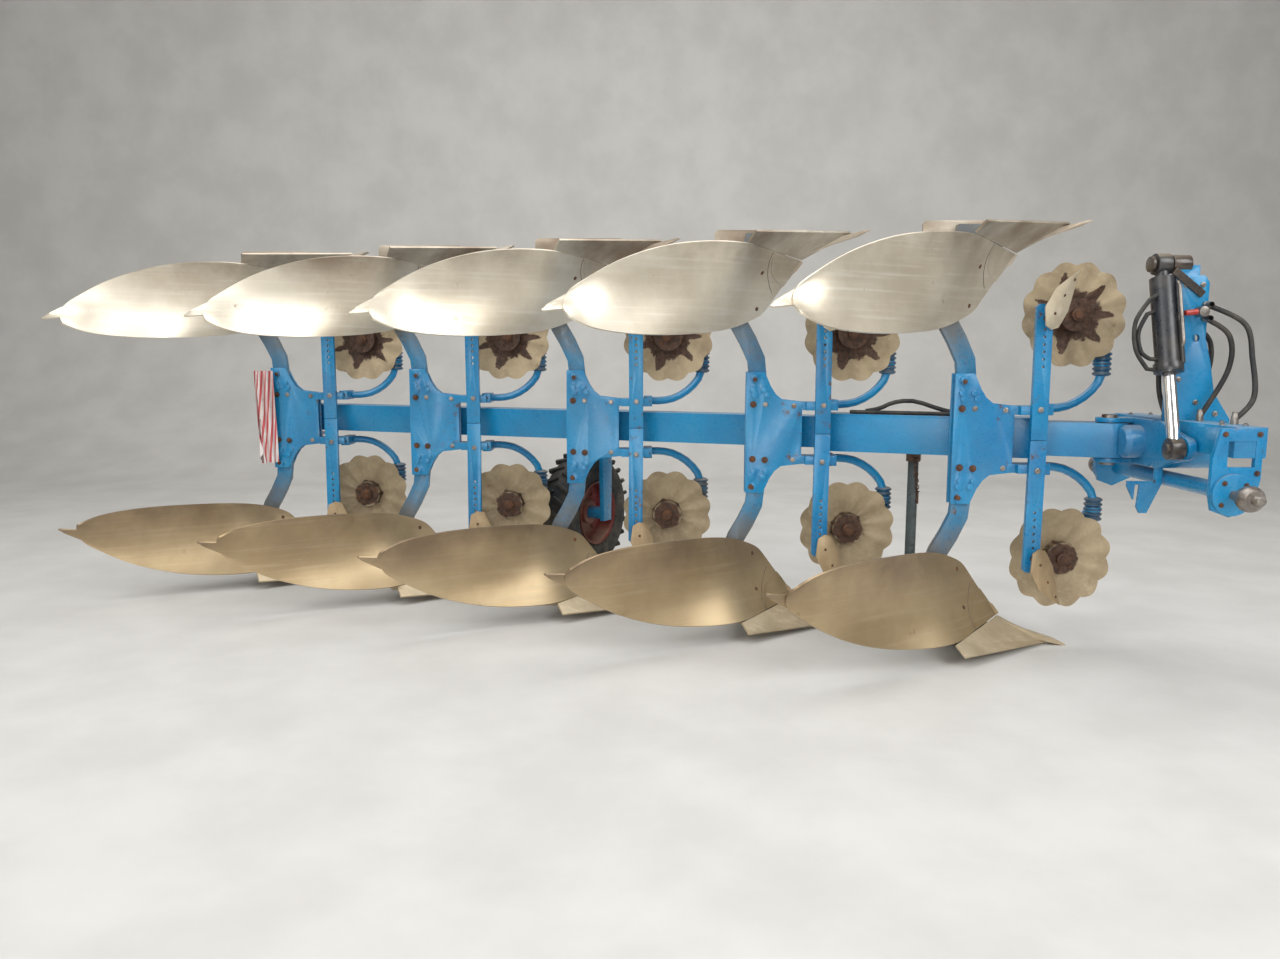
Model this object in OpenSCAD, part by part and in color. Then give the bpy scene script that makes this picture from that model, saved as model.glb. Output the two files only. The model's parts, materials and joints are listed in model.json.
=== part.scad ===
// Five-furrow mounted turnover plough, millimetres.
// Built on the ground plane, travelling toward +X, with +Y to the left.
// The last section moves everything so that the free top link bore is the origin.

/* [Layout] */
// distance between neighbouring bodies along the beam
body_spacing = 1000; // [920:10:1050]
// angle of the beam to the line of travel at rest
beam_yaw = 20.6; // [18:0.1:24]
// height of the turnover axis above the ground
axis_h = 1010; // [980:5:1040]
// share heel of the front body, sideways from the turnover axis
heel_y = -80; // [-100:5:-60]

/* [Beam] */
// height and width of the square beam
beam_size = 160; // [140:5:170]
// beam length behind its swing pivot
beam_len = 4860; // [4770:10:4900]
// beam centre line, square off from the line of share heels
beam_off = 575; // [565:5:600]
// swing pivot ahead of the front share heel
pivot_x = 738; // [732:1:740]
// radius of the rounded front eye of the beam
beam_eye_r = 80; // [76:1:80]
// height of the strengthening strip under the front of the beam
strip_h = 16; // [12:1:20]

/* [Brackets and legs] */
// swing pin of each bracket, ahead of its own share heel
console_pin_x = 190; // [170:5:210]
// near face of the outer bracket plate, from the line of share heels
console_y = 325; // [315:1:330]
// thickness of a bracket plate
plate_t = 12; // [10:1:14]
// thickness of a leg between its two bracket plates
leg_t = 38; // [32:1:40]
// half the height of a bracket plate
console_half_h = 308; // [300:2:315]
// width of a leg, seen from the side
leg_w = 88; // [80:1:95]

/* [Ploughing bodies] */
// thickness of a mouldboard
board_t = 10; // [8:1:12]
// reach of the shin piece along the foot of a mouldboard, in board sections
shin_u = 1.05; // [0.9:0.05:1.2]
// reach of the tail piece behind a mouldboard, in steps of the board
tail_reach = 1.4; // [1:0.1:1.6]
// thickness of a share
share_t = 12; // [10:1:14]
// width of the reversible point
point_w = 56; // [50:1:65]
// gap left at a seat between two pieces of one body
seat_gap = 0.3; // [0.2:0.05:0.5]

/* [Coulters] */
// outer radius of a notched disc
disc_r = 250; // [240:1:255]
// depth of a notch in the rim
notch_depth = 22; // [15:1:28]
// height of a flute, to each side of the disc
flute_h = 9; // [5:1:12]
// thickness of the disc
disc_t = 6; // [5:0.5:8]
// disc plane, from the line of share heels
disc_y = 398; // [395:1:402]
// skimmer stalk, from the line of share heels
stalk_y = 262; // [255:1:270]

/* [Depth wheel] */
// radius of the tyre
tyre_r = 390; // [380:1:395]
// width of the tyre
tyre_w = 235; // [215:5:250]
// angle of the wheel plane to the line of travel
wheel_yaw = 60; // [55:1:62]
// wheel centre ahead of the front share heel (it lies behind, so it is negative)
wheel_x = -1834; // [-1860:2:-1800]
// wheel centre, sideways from the turnover axis
wheel_y = 1900; // [1880:5:1920]

/* [Headstock] */
// mast plates, centre ahead of the front share heel
mast_x = 917; // [917:1:930]
// height of the mast plates above the turnover axis
mast_rise = 735; // [725:5:745]
// height of the free top link bore
top_link_h = 1478; // [1470:1:1485]
// height of the lower link pins
lower_link_h = 855; // [845:5:860]
// lower link pins ahead of the front share heel
link_x = 872; // [870:1:890]
// gap between the mast plates, for the top link
mast_gap = 62; // [55:1:70]
// radius of the free top link bore
top_link_r = 16.2; // [15.9:0.1:16.5]
// radius of a lower link pin
lower_pin_r = 18.3; // [18:0.1:18.5]
// distance between the shoulders of the lower link pins
shoulder_w = 965; // [960:1:970]
// radius of the turnover axle
axle_r = 75; // [70:1:78]
// running clearance of an axle or pin in its bore
run_fit = 0.06; // [0.04:0.01:0.08]

/* [Turnover cylinder] */
// plane of the cylinder ahead of the front share heel
cyl_x = 790; // [788:1:794]
// height of the upper cylinder pin above the turnover axis
cyl_pin_h = 785; // [775:5:790]
// throw of the crank
crank_r = 205; // [200:1:210]
// radius of the barrel
barrel_r = 52; // [48:1:54]
// radius of the chromed rod
rod_r = 27; // [25:1:29]

/* [Parking stand] */
// stand behind the swing pivot, along the beam
stand_along = 890; // [880:1:896]
// width of the square stand tube
stand_w = 50; // [45:1:55]

/* [Hidden] */
$fn = 48;

body_count = 5;
dx = body_spacing * cos(beam_yaw);
dy = body_spacing * sin(beam_yaw);
pivot_y = (beam_off - pivot_x * sin(beam_yaw)) / cos(beam_yaw) + heel_y;
leg_y = console_y + plate_t;
far_plate_y = leg_y + leg_t;
console_pin_y = (beam_off - console_pin_x * sin(beam_yaw)) / cos(beam_yaw);
flange_z = beam_size / 2 + strip_h + 6;
flange_t = 14;
lean = atan(crank_r / cyl_pin_h);
cyl_len = sqrt(crank_r * crank_r + cyl_pin_h * cyl_pin_h);
stroke = cyl_len - (cyl_pin_h - crank_r);
rod_eye_r = 46;
neck_r = 76;
// at mid turn the neck passes under the rod's eye
neck_y = cyl_len - cyl_pin_h + rod_eye_r + neck_r + 10;
box_top = axis_h + 112;
cross_r = 34;
cross_gap = 46;
head_top = axis_h + mast_rise;
landside_t = 14;
spindle_r = 15;

// forward place and height of each lower disc centre, front body first
disc_low = [[568, 428], [543, 507], [552, 518], [562, 518], [556, 530]];

// mouldboard sections from the shin to the tail: lower edge, middle, upper edge,
// each as forward, sideways and height from the share heel on the ground
board_sections = [
    [[268, 372, 152], [176, 372, 280], [76, 338, 418]],
    [[118, 212, 127], [50, 276, 290], [-40, 262, 474]],
    [[-32, 52, 102], [-98, 128, 300], [-190, 108, 512]],
    [[-245, -38, 104], [-322, -6, 306], [-402, -96, 528]],
    [[-450, -132, 140], [-532, -138, 330], [-600, -226, 524]],
    [[-660, -232, 222], [-722, -262, 362], [-750, -324, 500]],
    [[-838, -300, 338], [-872, -322, 398], [-842, -362, 452]]];

// Helpers

function mix(a, b, t) = a * (1 - t) + b * t;
function unit(v) = v / norm(v);
function clampi(i, n) = min(max(i, 0), n - 1);

// smooth curve through a list of values
function spline(list, t) =
    let (n = len(list), i = max(0, min(floor(t), n - 2)), f = t - i,
         a = list[clampi(i - 1, n)], b = list[i], c = list[i + 1], d = list[clampi(i + 2, n)])
    b + 0.5 * f * (c - a + f * (2 * a - 5 * b + 4 * c - d + f * (3 * (b - c) + d - a)));

// closed shell between two grids of points, front and back
module shell(front, back) {
    nu = len(front) - 1;
    nv = len(front[0]) - 1;
    row = nv + 1;
    side = (nu + 1) * row;
    points = concat([for (r = front) for (p = r) p], [for (r = back) for (p = r) p]);
    faces = concat(
        [for (i = [0:nu - 1]) for (j = [0:nv - 1]) for (k = [0, 1])
            let (a = i * row + j)
            k == 0 ? [a, a + row + 1, a + 1] : [a, a + row, a + row + 1]],
        [for (i = [0:nu - 1]) for (j = [0:nv - 1]) for (k = [0, 1])
            let (a = side + i * row + j)
            k == 0 ? [a, a + 1, a + row + 1] : [a, a + row + 1, a + row]],
        [for (i = [0:nu - 1]) for (j = [0, nv]) for (k = [0, 1])
            let (a = i * row + j, b = a + row,
                 f = k == 0 ? [a, b + side, b] : [a, a + side, b + side])
            j == 0 ? f : [f[2], f[1], f[0]]],
        [for (j = [0:nv - 1]) for (i = [0, nu]) for (k = [0, 1])
            let (a = i * row + j, b = a + 1,
                 f = k == 0 ? [a, b, b + side] : [a, b + side, a + side])
            i == 0 ? f : [f[2], f[1], f[0]]]);
    polyhedron(points, faces);
}

// round tube swept along a list of points
module sweep_tube(path, r, sides = 8) {
    n = len(path);
    function along(i) = unit(path[clampi(i + 1, n)] - path[clampi(i - 1, n)]);
    function across(i) =
        let (t = along(i), h = abs(t[2]) > 0.9 ? [1, 0, 0] : [0, 0, 1]) unit(cross(t, h));
    function carried(i) =
        i == 0 ? across(0) : let (t = along(i), p = carried(i - 1)) unit(p - t * (p * t));
    points = [for (i = [0:n - 1]) let (u = carried(i), w = cross(along(i), u))
        for (k = [0:sides - 1]) path[i] + r * (u * cos(360 * k / sides) + w * sin(360 * k / sides))];
    faces = concat(
        [[for (k = [0:sides - 1]) k]],
        [[for (k = [sides - 1:-1:0]) (n - 1) * sides + k]],
        [for (i = [0:n - 2]) for (k = [0:sides - 1]) for (m = [0, 1])
            let (a = i * sides + k, b = i * sides + (k + 1) % sides)
            m == 0 ? [a, a + sides, b] : [b, a + sides, b + sides]]);
    polyhedron(points, faces);
}

// points of a smooth curve through a few guide points
function curve(guide, steps) =
    [for (i = [0:steps]) spline(guide, i * (len(guide) - 1) / steps)];

// flat bar of even width along a bent line, as an outline
function bar_outline(line, w) =
    let (n = len(line),
         side = [for (i = [0:n - 1])
             let (t = unit(line[clampi(i + 1, n)] - line[clampi(i - 1, n)])) [-t[1], t[0]]])
    concat([for (i = [0:n - 1]) line[i] + side[i] * w / 2],
           [for (i = [n - 1:-1:0]) line[i] - side[i] * w / 2]);

// upright plate: outline in forward and height, standing from y to y + t
module upright(outline, y, t) {
    translate([0, y + t, 0]) rotate([90, 0, 0]) linear_extrude(t) polygon(outline);
}

// round pin or tube lying across, from y to y + length
module across_pin(x, y, z, length, r, sides = 48) {
    translate([x, y, z]) rotate([-90, 0, 0]) cylinder(h = length, r = r, $fn = sides);
}

// round pin or tube lying along the line of travel
module along_pin(x, y, z, length, r) {
    translate([x, y, z]) rotate([0, 90, 0]) cylinder(h = length, r = r);
}

// place of a body along the beam, counted from the front
module station(i) {
    translate([-(i - 1) * dx, heel_y + (i - 1) * dy, 0]) children();
}

// the lower piece and its mirror above the turnover axis
module both_rows() {
    children();
    upper_row() children();
}

module upper_row() {
    translate([0, 0, 2 * axis_h]) mirror([0, 0, 1]) children();
}

// along the beam, from its swing pivot backwards, with the beam's middle at zero
module on_beam() {
    translate([pivot_x, pivot_y, axis_h]) rotate([0, 0, -beam_yaw]) children();
}

// Ploughing bodies

function board_point(u, v) =
    let (low = spline([for (s = board_sections) s[0]], u),
         mid = spline([for (s = board_sections) s[1]], u),
         top = spline([for (s = board_sections) s[2]], u))
    (1 - v) * (1 - 2 * v) * low + 4 * v * (1 - v) * mid + v * (2 * v - 1) * top;

function board_normal(u, v) =
    let (e = 0.02, du = board_point(u + e, v) - board_point(u - e, v),
         dv = board_point(u, v + e) - board_point(u, v - e))
    unit(cross(dv, du));

// rows of points on the board between two lists of u, one per height v
function board_patch(u_low, u_high, rows, cols, depth) =
    [for (i = [0:cols]) [for (j = [0:len(rows) - 1])
        let (u = mix(u_low[j], u_high[j], i / cols))
        board_point(u, rows[j]) - board_normal(u, rows[j]) * depth]];

board_cols = 12;
board_rows = [for (j = [0:6]) j / 6];
seam = [for (v = board_rows) v < 0.5 ? shin_u * sqrt(1 - 4 * v * v) : 0];
tail_end = [for (v = board_rows) 6];

// u of a column of the board's own grid, so that seats share its facets
function column(i, first, last) = [for (j = [first:last]) mix(seam[j], 6, i / board_cols)];

function some_rows(first, last) = [for (j = [first:last]) board_rows[j]];

// the tail piece lies behind the last column and runs straight on
function tail_rows(depth) =
    let (g = board_patch(column(board_cols - 1, 1, 4), column(board_cols, 1, 4), some_rows(1, 4), 1, depth))
    [g[0], g[1], [for (j = [0:3]) g[1][j] + tail_reach * (g[1][j] - g[0][j])]];

module mouldboards() {
    shin_front = [-0.35, -0.3, -0.2, -0.1];
    shin_back = [for (j = [0:3]) seam[j] - 0.006];
    color("BurlyWood") both_rows() {
        shell(board_patch(seam, tail_end, board_rows, board_cols, 0),
            board_patch(seam, tail_end, board_rows, board_cols, board_t));
        shell(board_patch(shin_front, shin_back, some_rows(0, 3), 3, -1),
            board_patch(shin_front, shin_back, some_rows(0, 3), 3, board_t));
        shell(tail_rows(board_t + seat_gap), tail_rows(board_t + seat_gap + 8));
    }
}

// four corners of the share: point, heel, and the seam under the mouldboard
share_front = [516, 372, 14];
share_heel = [0, 0, 55];
share_seam_front = [271.6, 372, 148.1];
share_seam_heel = [-30.2, 49.7, 98];

module share_plate() {
    down = unit(cross(share_heel - share_front, share_seam_front - share_front)) * share_t;
    back = down[1] > 0 ? down : -down;
    front = [[share_front, share_seam_front], [share_heel, share_seam_heel]];
    shell(front, [for (r = front) [for (p = r) p + back]]);
}

module point_bar() {
    upright([[612, 0], [588, 0], [420, 42], [266, 108], [276, 134], [420, 72], [560, 26]],
        share_front[1] - point_w / 2 + 12, point_w);
}

module landside() {
    upright([[300, 0], [-150, 0], [-165, 16], [-165, 104], [-150, 118], [215, 118], [300, 62]],
        far_plate_y + seat_gap, landside_t);
}

module shares() {
    color("Peru") both_rows() {
        share_plate();
        point_bar();
        landside();
    }
}

// Legs

// the leg's line: forward place, and height as a share of the turnover axis's height
leg_shares = [[62, 0.752], [50, 0.634], [6, 0.54], [-38, 0.465], [-64, 0.396], [-62, 0.317],
    [-20, 0.228], [50, 0.149]];
leg_line = [for (p = leg_shares) [p[0], p[1] * axis_h]];

module leg() {
    upright(bar_outline(leg_line, leg_w), leg_y + seat_gap, leg_t - 2 * seat_gap);
    upright([[-10, 20], [-40, 130], [0, 190], [96, 190], [190, 120], [240, 20]],
        leg_y + seat_gap, leg_t - 2 * seat_gap);
}

// seat block between the leg and the back of the mouldboard
module frog() {
    seat = board_patch(column(1, 1, 3), column(3, 1, 3), some_rows(1, 3), 2, board_t + seat_gap);
    foot = [for (r = seat) [for (p = r) [p[0], leg_y + 4, p[2]]]];
    shell(seat, foot);
}

module legs() {
    color("SteelBlue") both_rows() {
        leg();
        frog();
    }
}

// Brackets

half_outline = [
    [285, 0], [285, 158], [182, 170], [150, 196], [124, 236], [92, 308], [2, 308], [0, 0]];

module bracket_plate(y) {
    outline = [for (p = half_outline) [p[0], axis_h + min(p[1], console_half_h)]];
    lower = [for (i = [len(half_outline) - 2:-1:1])
        [half_outline[i][0], axis_h - min(half_outline[i][1], console_half_h)]];
    upright(concat(outline, lower), y, plate_t);
}

// the two flanges that reach over and under the beam to the swing pin
module flange() {
    difference() {
        linear_extrude(flange_t) polygon([
            [console_pin_x - 95, far_plate_y + plate_t - 4], [console_pin_x - 62, console_pin_y + 10],
            [console_pin_x - 30, console_pin_y + 52], [console_pin_x + 30, console_pin_y + 52],
            [console_pin_x + 62, console_pin_y + 10], [console_pin_x + 78, far_plate_y + plate_t - 4]]);
        translate([console_pin_x, console_pin_y, -1]) cylinder(h = flange_t + 2, r = 22 + run_fit);
    }
}

module bolt_rows() {
    for (p = [[42, 270], [42, 190], [105, 190], [34, -225], [90, -225], [38, -290]]) {
        across_pin(p[0], console_y - 12, axis_h + p[1], 12, 15);
        across_pin(p[0], console_y - 12, axis_h - p[1] - 8, 12, 15);
    }
}

// curved carrier of one disc, under the turnover axis
carrier_line = [[440, -142], [500, -140], [580, -152], [660, -195], [722, -262], [742, -330]];

module coulter_carrier(disc_z, disc_x) {
    bend_z = axis_h - 352;
    sweep_tube(curve([for (p = carrier_line) [p[0], disc_y + 46, axis_h + p[1]]], 10), 21);
    translate([742, disc_y + 56, bend_z - 54]) cylinder(h = 106, r = 33);
    translate([742, disc_y + 56, bend_z - 10]) cylinder(h = 20, r = 39);
    drop = bar_outline([[742, bend_z], [disc_x + 60, disc_z + 62], [disc_x, disc_z]], 46);
    upright(drop, disc_y + 66, 16);
    across_pin(disc_x, disc_y + 66, disc_z, 22, 26);
    across_pin(disc_x, disc_y - 50, disc_z, 120, spindle_r);
    across_pin(disc_x, disc_y - 50, disc_z, 14, 27);
}

module stalk() {
    difference() {
        upright([[342, axis_h - 2], [418, axis_h - 2], [414, 398], [400, 384], [352, 384], [338, 398]],
            stalk_y, 24);
        for (z = [500:34:670]) across_pin(380, stalk_y - 1, z, 26, 7, 10);
    }
}

// arm from the bracket plates to the stalk and on to the disc carrier
module side_arm() {
    translate([262, console_y - 2, axis_h - 158]) cube([62, 76, 42]);
    translate([300, stalk_y + 24, axis_h - 158]) cube([150, 152 - 40, 42]);
    translate([420, stalk_y + 60, axis_h - 168]) cube([46, 150, 54]);
}

// rows of points from the tip of a skimmer up to its rounded top
skimmer_rows = [
    [[500, 212, 240], [488, 204, 246], [474, 200, 254]],
    [[484, 226, 330], [432, 196, 322], [388, 188, 318]],
    [[470, 242, 420], [408, 214, 420], [350, 200, 400]],
    [[434, 248, 492], [396, 230, 502], [362, 214, 484]]];

module skimmer() {
    shell([for (r = skimmer_rows) [for (p = r) p + [0, 10, 0]]], skimmer_rows);
    translate([366, 216, 396]) cube([32, stalk_y - 215, 42]);
}

module bracket(i) {
    disc = disc_low[i - 1];
    color("DodgerBlue") {
        bracket_plate(console_y);
        bracket_plate(far_plate_y);
        translate([206, console_y + 4, axis_h - 150]) cube([70, leg_t + plate_t, 300]);
        both_rows() {
            translate([0, 0, axis_h - flange_z - flange_t]) flange();
            side_arm();
            stalk();
            coulter_carrier(disc[1], disc[0]);
            skimmer();
        }
        bolt_rows();
    }
}

// Discs

// one side of the disc: rings from the hub outwards, waved and notched toward the rim
function disc_ring(r, wave, notch, y, n) =
    [for (k = [0:n - 1])
        let (a = 360 * k / n, cut = k % 3 == 0 ? notch : 0, rr = r - cut)
        [rr * cos(a), y + wave * cos(360 * k * 12 / n + 60), rr * sin(a)]];

module disc_blade() {
    n = 36;
    rings = [[70, 0, 0, 26], [150, 0.35, 0, 14], [disc_r, 1, 1, 0]];
    near = [for (r = rings) disc_ring(r[0], r[1] * flute_h, r[2] * notch_depth, r[3] - disc_t / 2, n)];
    far = [for (r = rings) disc_ring(r[0], r[1] * flute_h, r[2] * notch_depth, r[3] + disc_t / 2, n)];
    loop = concat(near, [far[2], far[1], far[0]]);
    points = [for (r = loop) for (p = r) p];
    polyhedron(points, [for (m = [0:5]) for (k = [0:n - 1]) for (s = [0, 1])
        let (a = m * n + k, b = m * n + (k + 1) % n, c = ((m + 1) % 6) * n + k,
             d = ((m + 1) % 6) * n + (k + 1) % n)
        s == 0 ? [a, b, c] : [b, d, c]]);
}

module disc_hub() {
    difference() {
        union() {
            across_pin(0, -31, 0, 58, 78);
            across_pin(0, 20, 0, 40, 46);
        }
        across_pin(0, -40, 0, 110, spindle_r + run_fit);
    }
}

module disc(i) {
    place = disc_low[i - 1];
    color("Tan") translate([place[0], disc_y, place[1]]) {
        disc_blade();
        disc_hub();
    }
}

// Beam

module beam() {
    color("RoyalBlue") on_beam() difference() {
        union() {
            translate([-beam_len, -beam_size / 2, -beam_size / 2]) cube([beam_len, beam_size, beam_size]);
            translate([0, 0, -beam_size / 2]) cylinder(h = beam_size, r = beam_eye_r);
            for (z = [-beam_size / 2 - strip_h, beam_size / 2])
                translate([-1320, -beam_size / 2, z]) cube([1000, beam_size, strip_h]);
            translate([-beam_len - 12, -beam_size / 2 - 4, -beam_size / 2 - 4])
                cube([12, beam_size + 8, beam_size + 8]);
        }
        translate([0, 0, -100]) cylinder(h = 200, r = 35 + run_fit);
        for (i = [0:body_count - 1]) translate([-console_along(i), 0, -120])
            cylinder(h = 240, r = 22 + seat_gap);
    }
}

// distance of a bracket's swing pin behind the beam's swing pivot
function console_along(i) = (pivot_x - console_pin_x) / cos(beam_yaw) + i * body_spacing;

module bracket_pin_set() {
    half = flange_z + flange_t + 16;
    color("DimGray") on_beam() for (i = [0:body_count - 1])
        translate([-console_along(i), 0, -half]) cylinder(h = 2 * half, r = 22);
}

module beam_pipes() {
    lift = beam_size / 2 + strip_h + seat_gap;
    color("SlateGray") on_beam() {
        for (y = [-44, -16]) sweep_tube([[-690, y, lift + 9], [-1200, y, lift + 9]], 9);
        sweep_tube(curve([[-690, 22, lift + 11], [-770, 24, lift + 30], [-890, 26, lift + 66],
            [-990, 26, lift + 58], [-1060, 24, lift + 26], [-1130, 22, lift + 11]], 12), 11);
    }
}

// Turnover head

module turn_axle() {
    ear = beam_size / 2 + 4;
    crank = cyl_x + 36;
    color("DeepSkyBlue") {
        along_pin(crank, 0, axis_h, 1072 - crank, axle_r);
        // round neck, hollowed round the beam's eye
        difference() {
            union() {
                along_pin(pivot_x + 26, neck_y, axis_h, crank + 8 - pivot_x, neck_r);
                translate([pivot_x + 4, neck_y, axis_h]) rotate([0, 90, 0])
                    cylinder(h = 22, r1 = neck_r - 14, r2 = neck_r);
            }
            translate([pivot_x, pivot_y, axis_h - ear]) cylinder(h = 2 * ear, r = beam_eye_r + 8);
        }
        // crank plate in the plane beside the cylinder's rod eye
        translate([crank, 0, axis_h]) rotate([90, 0, 90]) linear_extrude(34) union() {
            circle(r = axle_r + 30);
            polygon([[0, 96], [-crank_r, 48], [-crank_r, -48], [0, -96]]);
            translate([-crank_r, 0]) circle(r = 48);
        }
        // arm from the axle out to the two ears that hold the beam
        translate([crank, axle_r - 20, axis_h - ear - 20]) cube([34, pivot_y - axle_r + 90, 2 * ear + 40]);
        // hanging plate with a slot
        difference() {
            upright([[crank + 34, axis_h - 90], [crank + 34, axis_h - 174], [800, axis_h - 308],
                [768, axis_h - 308], [706, axis_h - 188], [706, axis_h - 164], [crank, axis_h - 164],
                [crank, axis_h - 90]], -7, 14);
            upright([[736, axis_h - 270], [754, axis_h - 280], [762, axis_h - 180],
                [740, axis_h - 180]], -8, 16);
        }
        for (z = [-ear - 20, ear]) translate([0, 0, axis_h + z]) difference() {
            linear_extrude(20) union() {
                translate([pivot_x, pivot_y]) circle(r = 62);
                translate([pivot_x, pivot_y - 52]) square([crank + 20 - pivot_x, 114]);
            }
            translate([pivot_x, pivot_y, -1]) cylinder(h = 22, r = 35 + run_fit);
        }
    }
}

module swing_pin() {
    color("Silver") translate([pivot_x, pivot_y, axis_h - 118]) cylinder(h = 236, r = 35);
}

// Turnover cylinder, drawn upright from its upper pin downwards

module in_cylinder() {
    translate([cyl_x, 0, axis_h + cyl_pin_h]) rotate([-lean, 0, 0]) children();
}

module turn_barrel() {
    color("DarkSlateGray") in_cylinder() {
        difference() {
            union() {
                translate([-30, 0, 0]) rotate([0, 90, 0]) cylinder(h = 60, r = 46);
                translate([0, 0, -464]) cylinder(h = 400, r = barrel_r);
                translate([0, 0, -70]) cylinder(h = 50, r = 28);
                // pipe along its side, with a clamp
                translate([37, -47, -450]) cylinder(h = 360, r = 9);
                translate([24, -60, -268]) cube([24, 26, 24]);
                translate([0, 0, -480]) cylinder(h = 38, r = barrel_r + 7);
            }
            translate([-31, 0, 0]) rotate([0, 90, 0]) cylinder(h = 62, r = 22 + run_fit);
            translate([0, 0, -481]) cylinder(h = 380, r = rod_r + run_fit);
        }
    }
}

module turn_rod() {
    color("Gainsboro") in_cylinder() difference() {
        union() {
            translate([0, 0, -cyl_len + 30]) cylinder(h = stroke + 160, r = rod_r);
            translate([-28, 0, -cyl_len]) rotate([0, 90, 0]) cylinder(h = 56, r = rod_eye_r);
            translate([-40, 0, -cyl_len]) rotate([0, 90, 0]) cylinder(h = 75, r = 22);
        }
    }
}

// Headstock

module mast_plate(y) {
    difference() {
        upright([[mast_x - 51, axis_h + 88], [mast_x - 51, axis_h + 280], [mast_x - 62, axis_h + 310],
            [mast_x - 62, head_top - 25], [mast_x - 37, head_top], [mast_x + 41, head_top],
            [mast_x + 62, head_top - 30], [mast_x + 62, axis_h + 470], [mast_x + 92, axis_h + 363],
            [mast_x + 117, axis_h + 233], [mast_x + 195, axis_h + 116], [mast_x + 195, axis_h + 88]], y, 18);
        across_pin(mast_x + 20, y - 1, top_link_h, 20, top_link_r);
        across_pin(mast_x + 20, y - 1, top_link_h + 112, 20, top_link_r);
    }
}

module side_plate(y) {
    difference() {
        upright([[818, axis_h + 108], [985, axis_h + 108], [985, lower_link_h + 60], [962, lower_link_h - 50],
            [link_x, lower_link_h - 92], [802, lower_link_h - 66], [788, lower_link_h],
            [790, axis_h - 10]], y, 22);
        upright([[848, axis_h + 57], [957, axis_h + 57], [957, axis_h - 46], [848, axis_h - 46]], y - 1, 24);
    }
}

module headstock() {
    color("CornflowerBlue") {
        mast_plate(-mast_gap / 2 - 18);
        mast_plate(mast_gap / 2);
        side_plate(-shoulder_w / 2 + 1);
        side_plate(shoulder_w / 2 - 23);
        // cross box with the axle bearing
        difference() {
            union() {
                translate([872, -shoulder_w / 2 + 4, axis_h - 10]) cube([128, shoulder_w - 8, 122]);
                along_pin(868, 0, axis_h, 200, axle_r + 30);
            }
            along_pin(800, 0, axis_h, 330, axle_r + run_fit);
        }
        // head bracket that carries the upper pin of the cylinder
        along_pin(cyl_x + 38, 0, axis_h + cyl_pin_h, mast_x - 10 - cyl_x - 38, 40);
        difference() {
            translate([mast_x - 60, -mast_gap / 2 - 1, axis_h + cyl_pin_h - 105])
                cube([86, mast_gap + 2, 100]);
            across_pin(mast_x + 20, -mast_gap / 2 - 2, top_link_h + 112, mast_gap + 4, top_link_r + 2);
        }
        along_pin(cyl_x - 44, 0, axis_h + cyl_pin_h, 90, 22);
        along_pin(cyl_x - 50, 0, axis_h + cyl_pin_h, 14, 34);
        // lower cross tube between the side plates, clear of the axle above it
        across_pin(901, -shoulder_w / 2 + 10, axis_h - axle_r - cross_gap - cross_r,
            shoulder_w - 20, cross_r);
    }
}

module linkage_pins() {
    color("Silver") for (s = [-1, 1]) mirror([0, s > 0 ? 1 : 0, 0]) {
        across_pin(link_x, -shoulder_w / 2 - 190, lower_link_h, 190, lower_pin_r);
        across_pin(link_x, -shoulder_w / 2 - 18, lower_link_h, 18 + 1 - seat_gap, 84);
    }
}

module top_link_pin() {
    color("Firebrick") {
        across_pin(mast_x + 20, -mast_gap / 2 - 62, top_link_h + 112, mast_gap + 98, top_link_r - run_fit);
        across_pin(mast_x + 20, -mast_gap / 2 - 70, top_link_h + 112, 50, 22);
    }
}

// each hose leaves a mast plate square to it and comes straight down on the cross box
hose_guides = [
    [[890, 49.4, 1600], [890, 62, 1600], [884, 130, 1490], [884, 120, 1260], [904, 90, box_top + 18],
        [904, 90, box_top + 0.4]],
    [[959, 49.4, 1560], [959, 62, 1560], [1080, 84, 1460], [1070, 90, 1290], [965, 120, box_top + 18],
        [965, 120, box_top + 0.4]],
    [[966, -49.4, 1562], [966, -62, 1562], [1060, -84, 1486], [1062, -90, 1340], [950, -100, box_top + 18],
        [950, -100, box_top + 0.4]],
    [[966, -49.4, 1620], [966, -62, 1620], [1100, -120, 1536], [1112, -170, 1390], [1080, -250, 1230],
        [976, -300, box_top + 18], [976, -300, box_top + 0.4]]];

module mast_hoses() {
    color("DimGray") for (g = hose_guides) {
        last = len(g) - 1;
        sweep_tube(concat([g[0]], curve([for (k = [1:last - 1]) g[k]], 14), [g[last]]), 11);
    }
}

// Parking stand

stand_gap = 0.4;

module on_stand() {
    on_beam() translate([-stand_along, beam_size / 2 + 10 + stand_w / 2, 0]) children();
}

module stand_holder() {
    outer = stand_w + 20;
    color("SaddleBrown") on_stand() difference() {
        translate([-outer / 2, -outer / 2 + seat_gap, -150]) cube([outer, outer - seat_gap, 210]);
        translate([-stand_w / 2 - stand_gap, -stand_w / 2 - stand_gap, -151])
            cube([stand_w + 2 * stand_gap, stand_w + 2 * stand_gap, 212]);
    }
}

module stand_leg() {
    color("LightSteelBlue") on_stand() {
        translate([-stand_w / 2, -stand_w / 2, -axis_h]) cube([stand_w, stand_w, axis_h + 74]);
        translate([-60, -60, -axis_h]) cube([120, 120, 8]);
    }
}

// Depth wheel

module at_wheel() {
    translate([wheel_x, wheel_y, tyre_r]) rotate([0, 0, wheel_yaw]) children();
}

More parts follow.
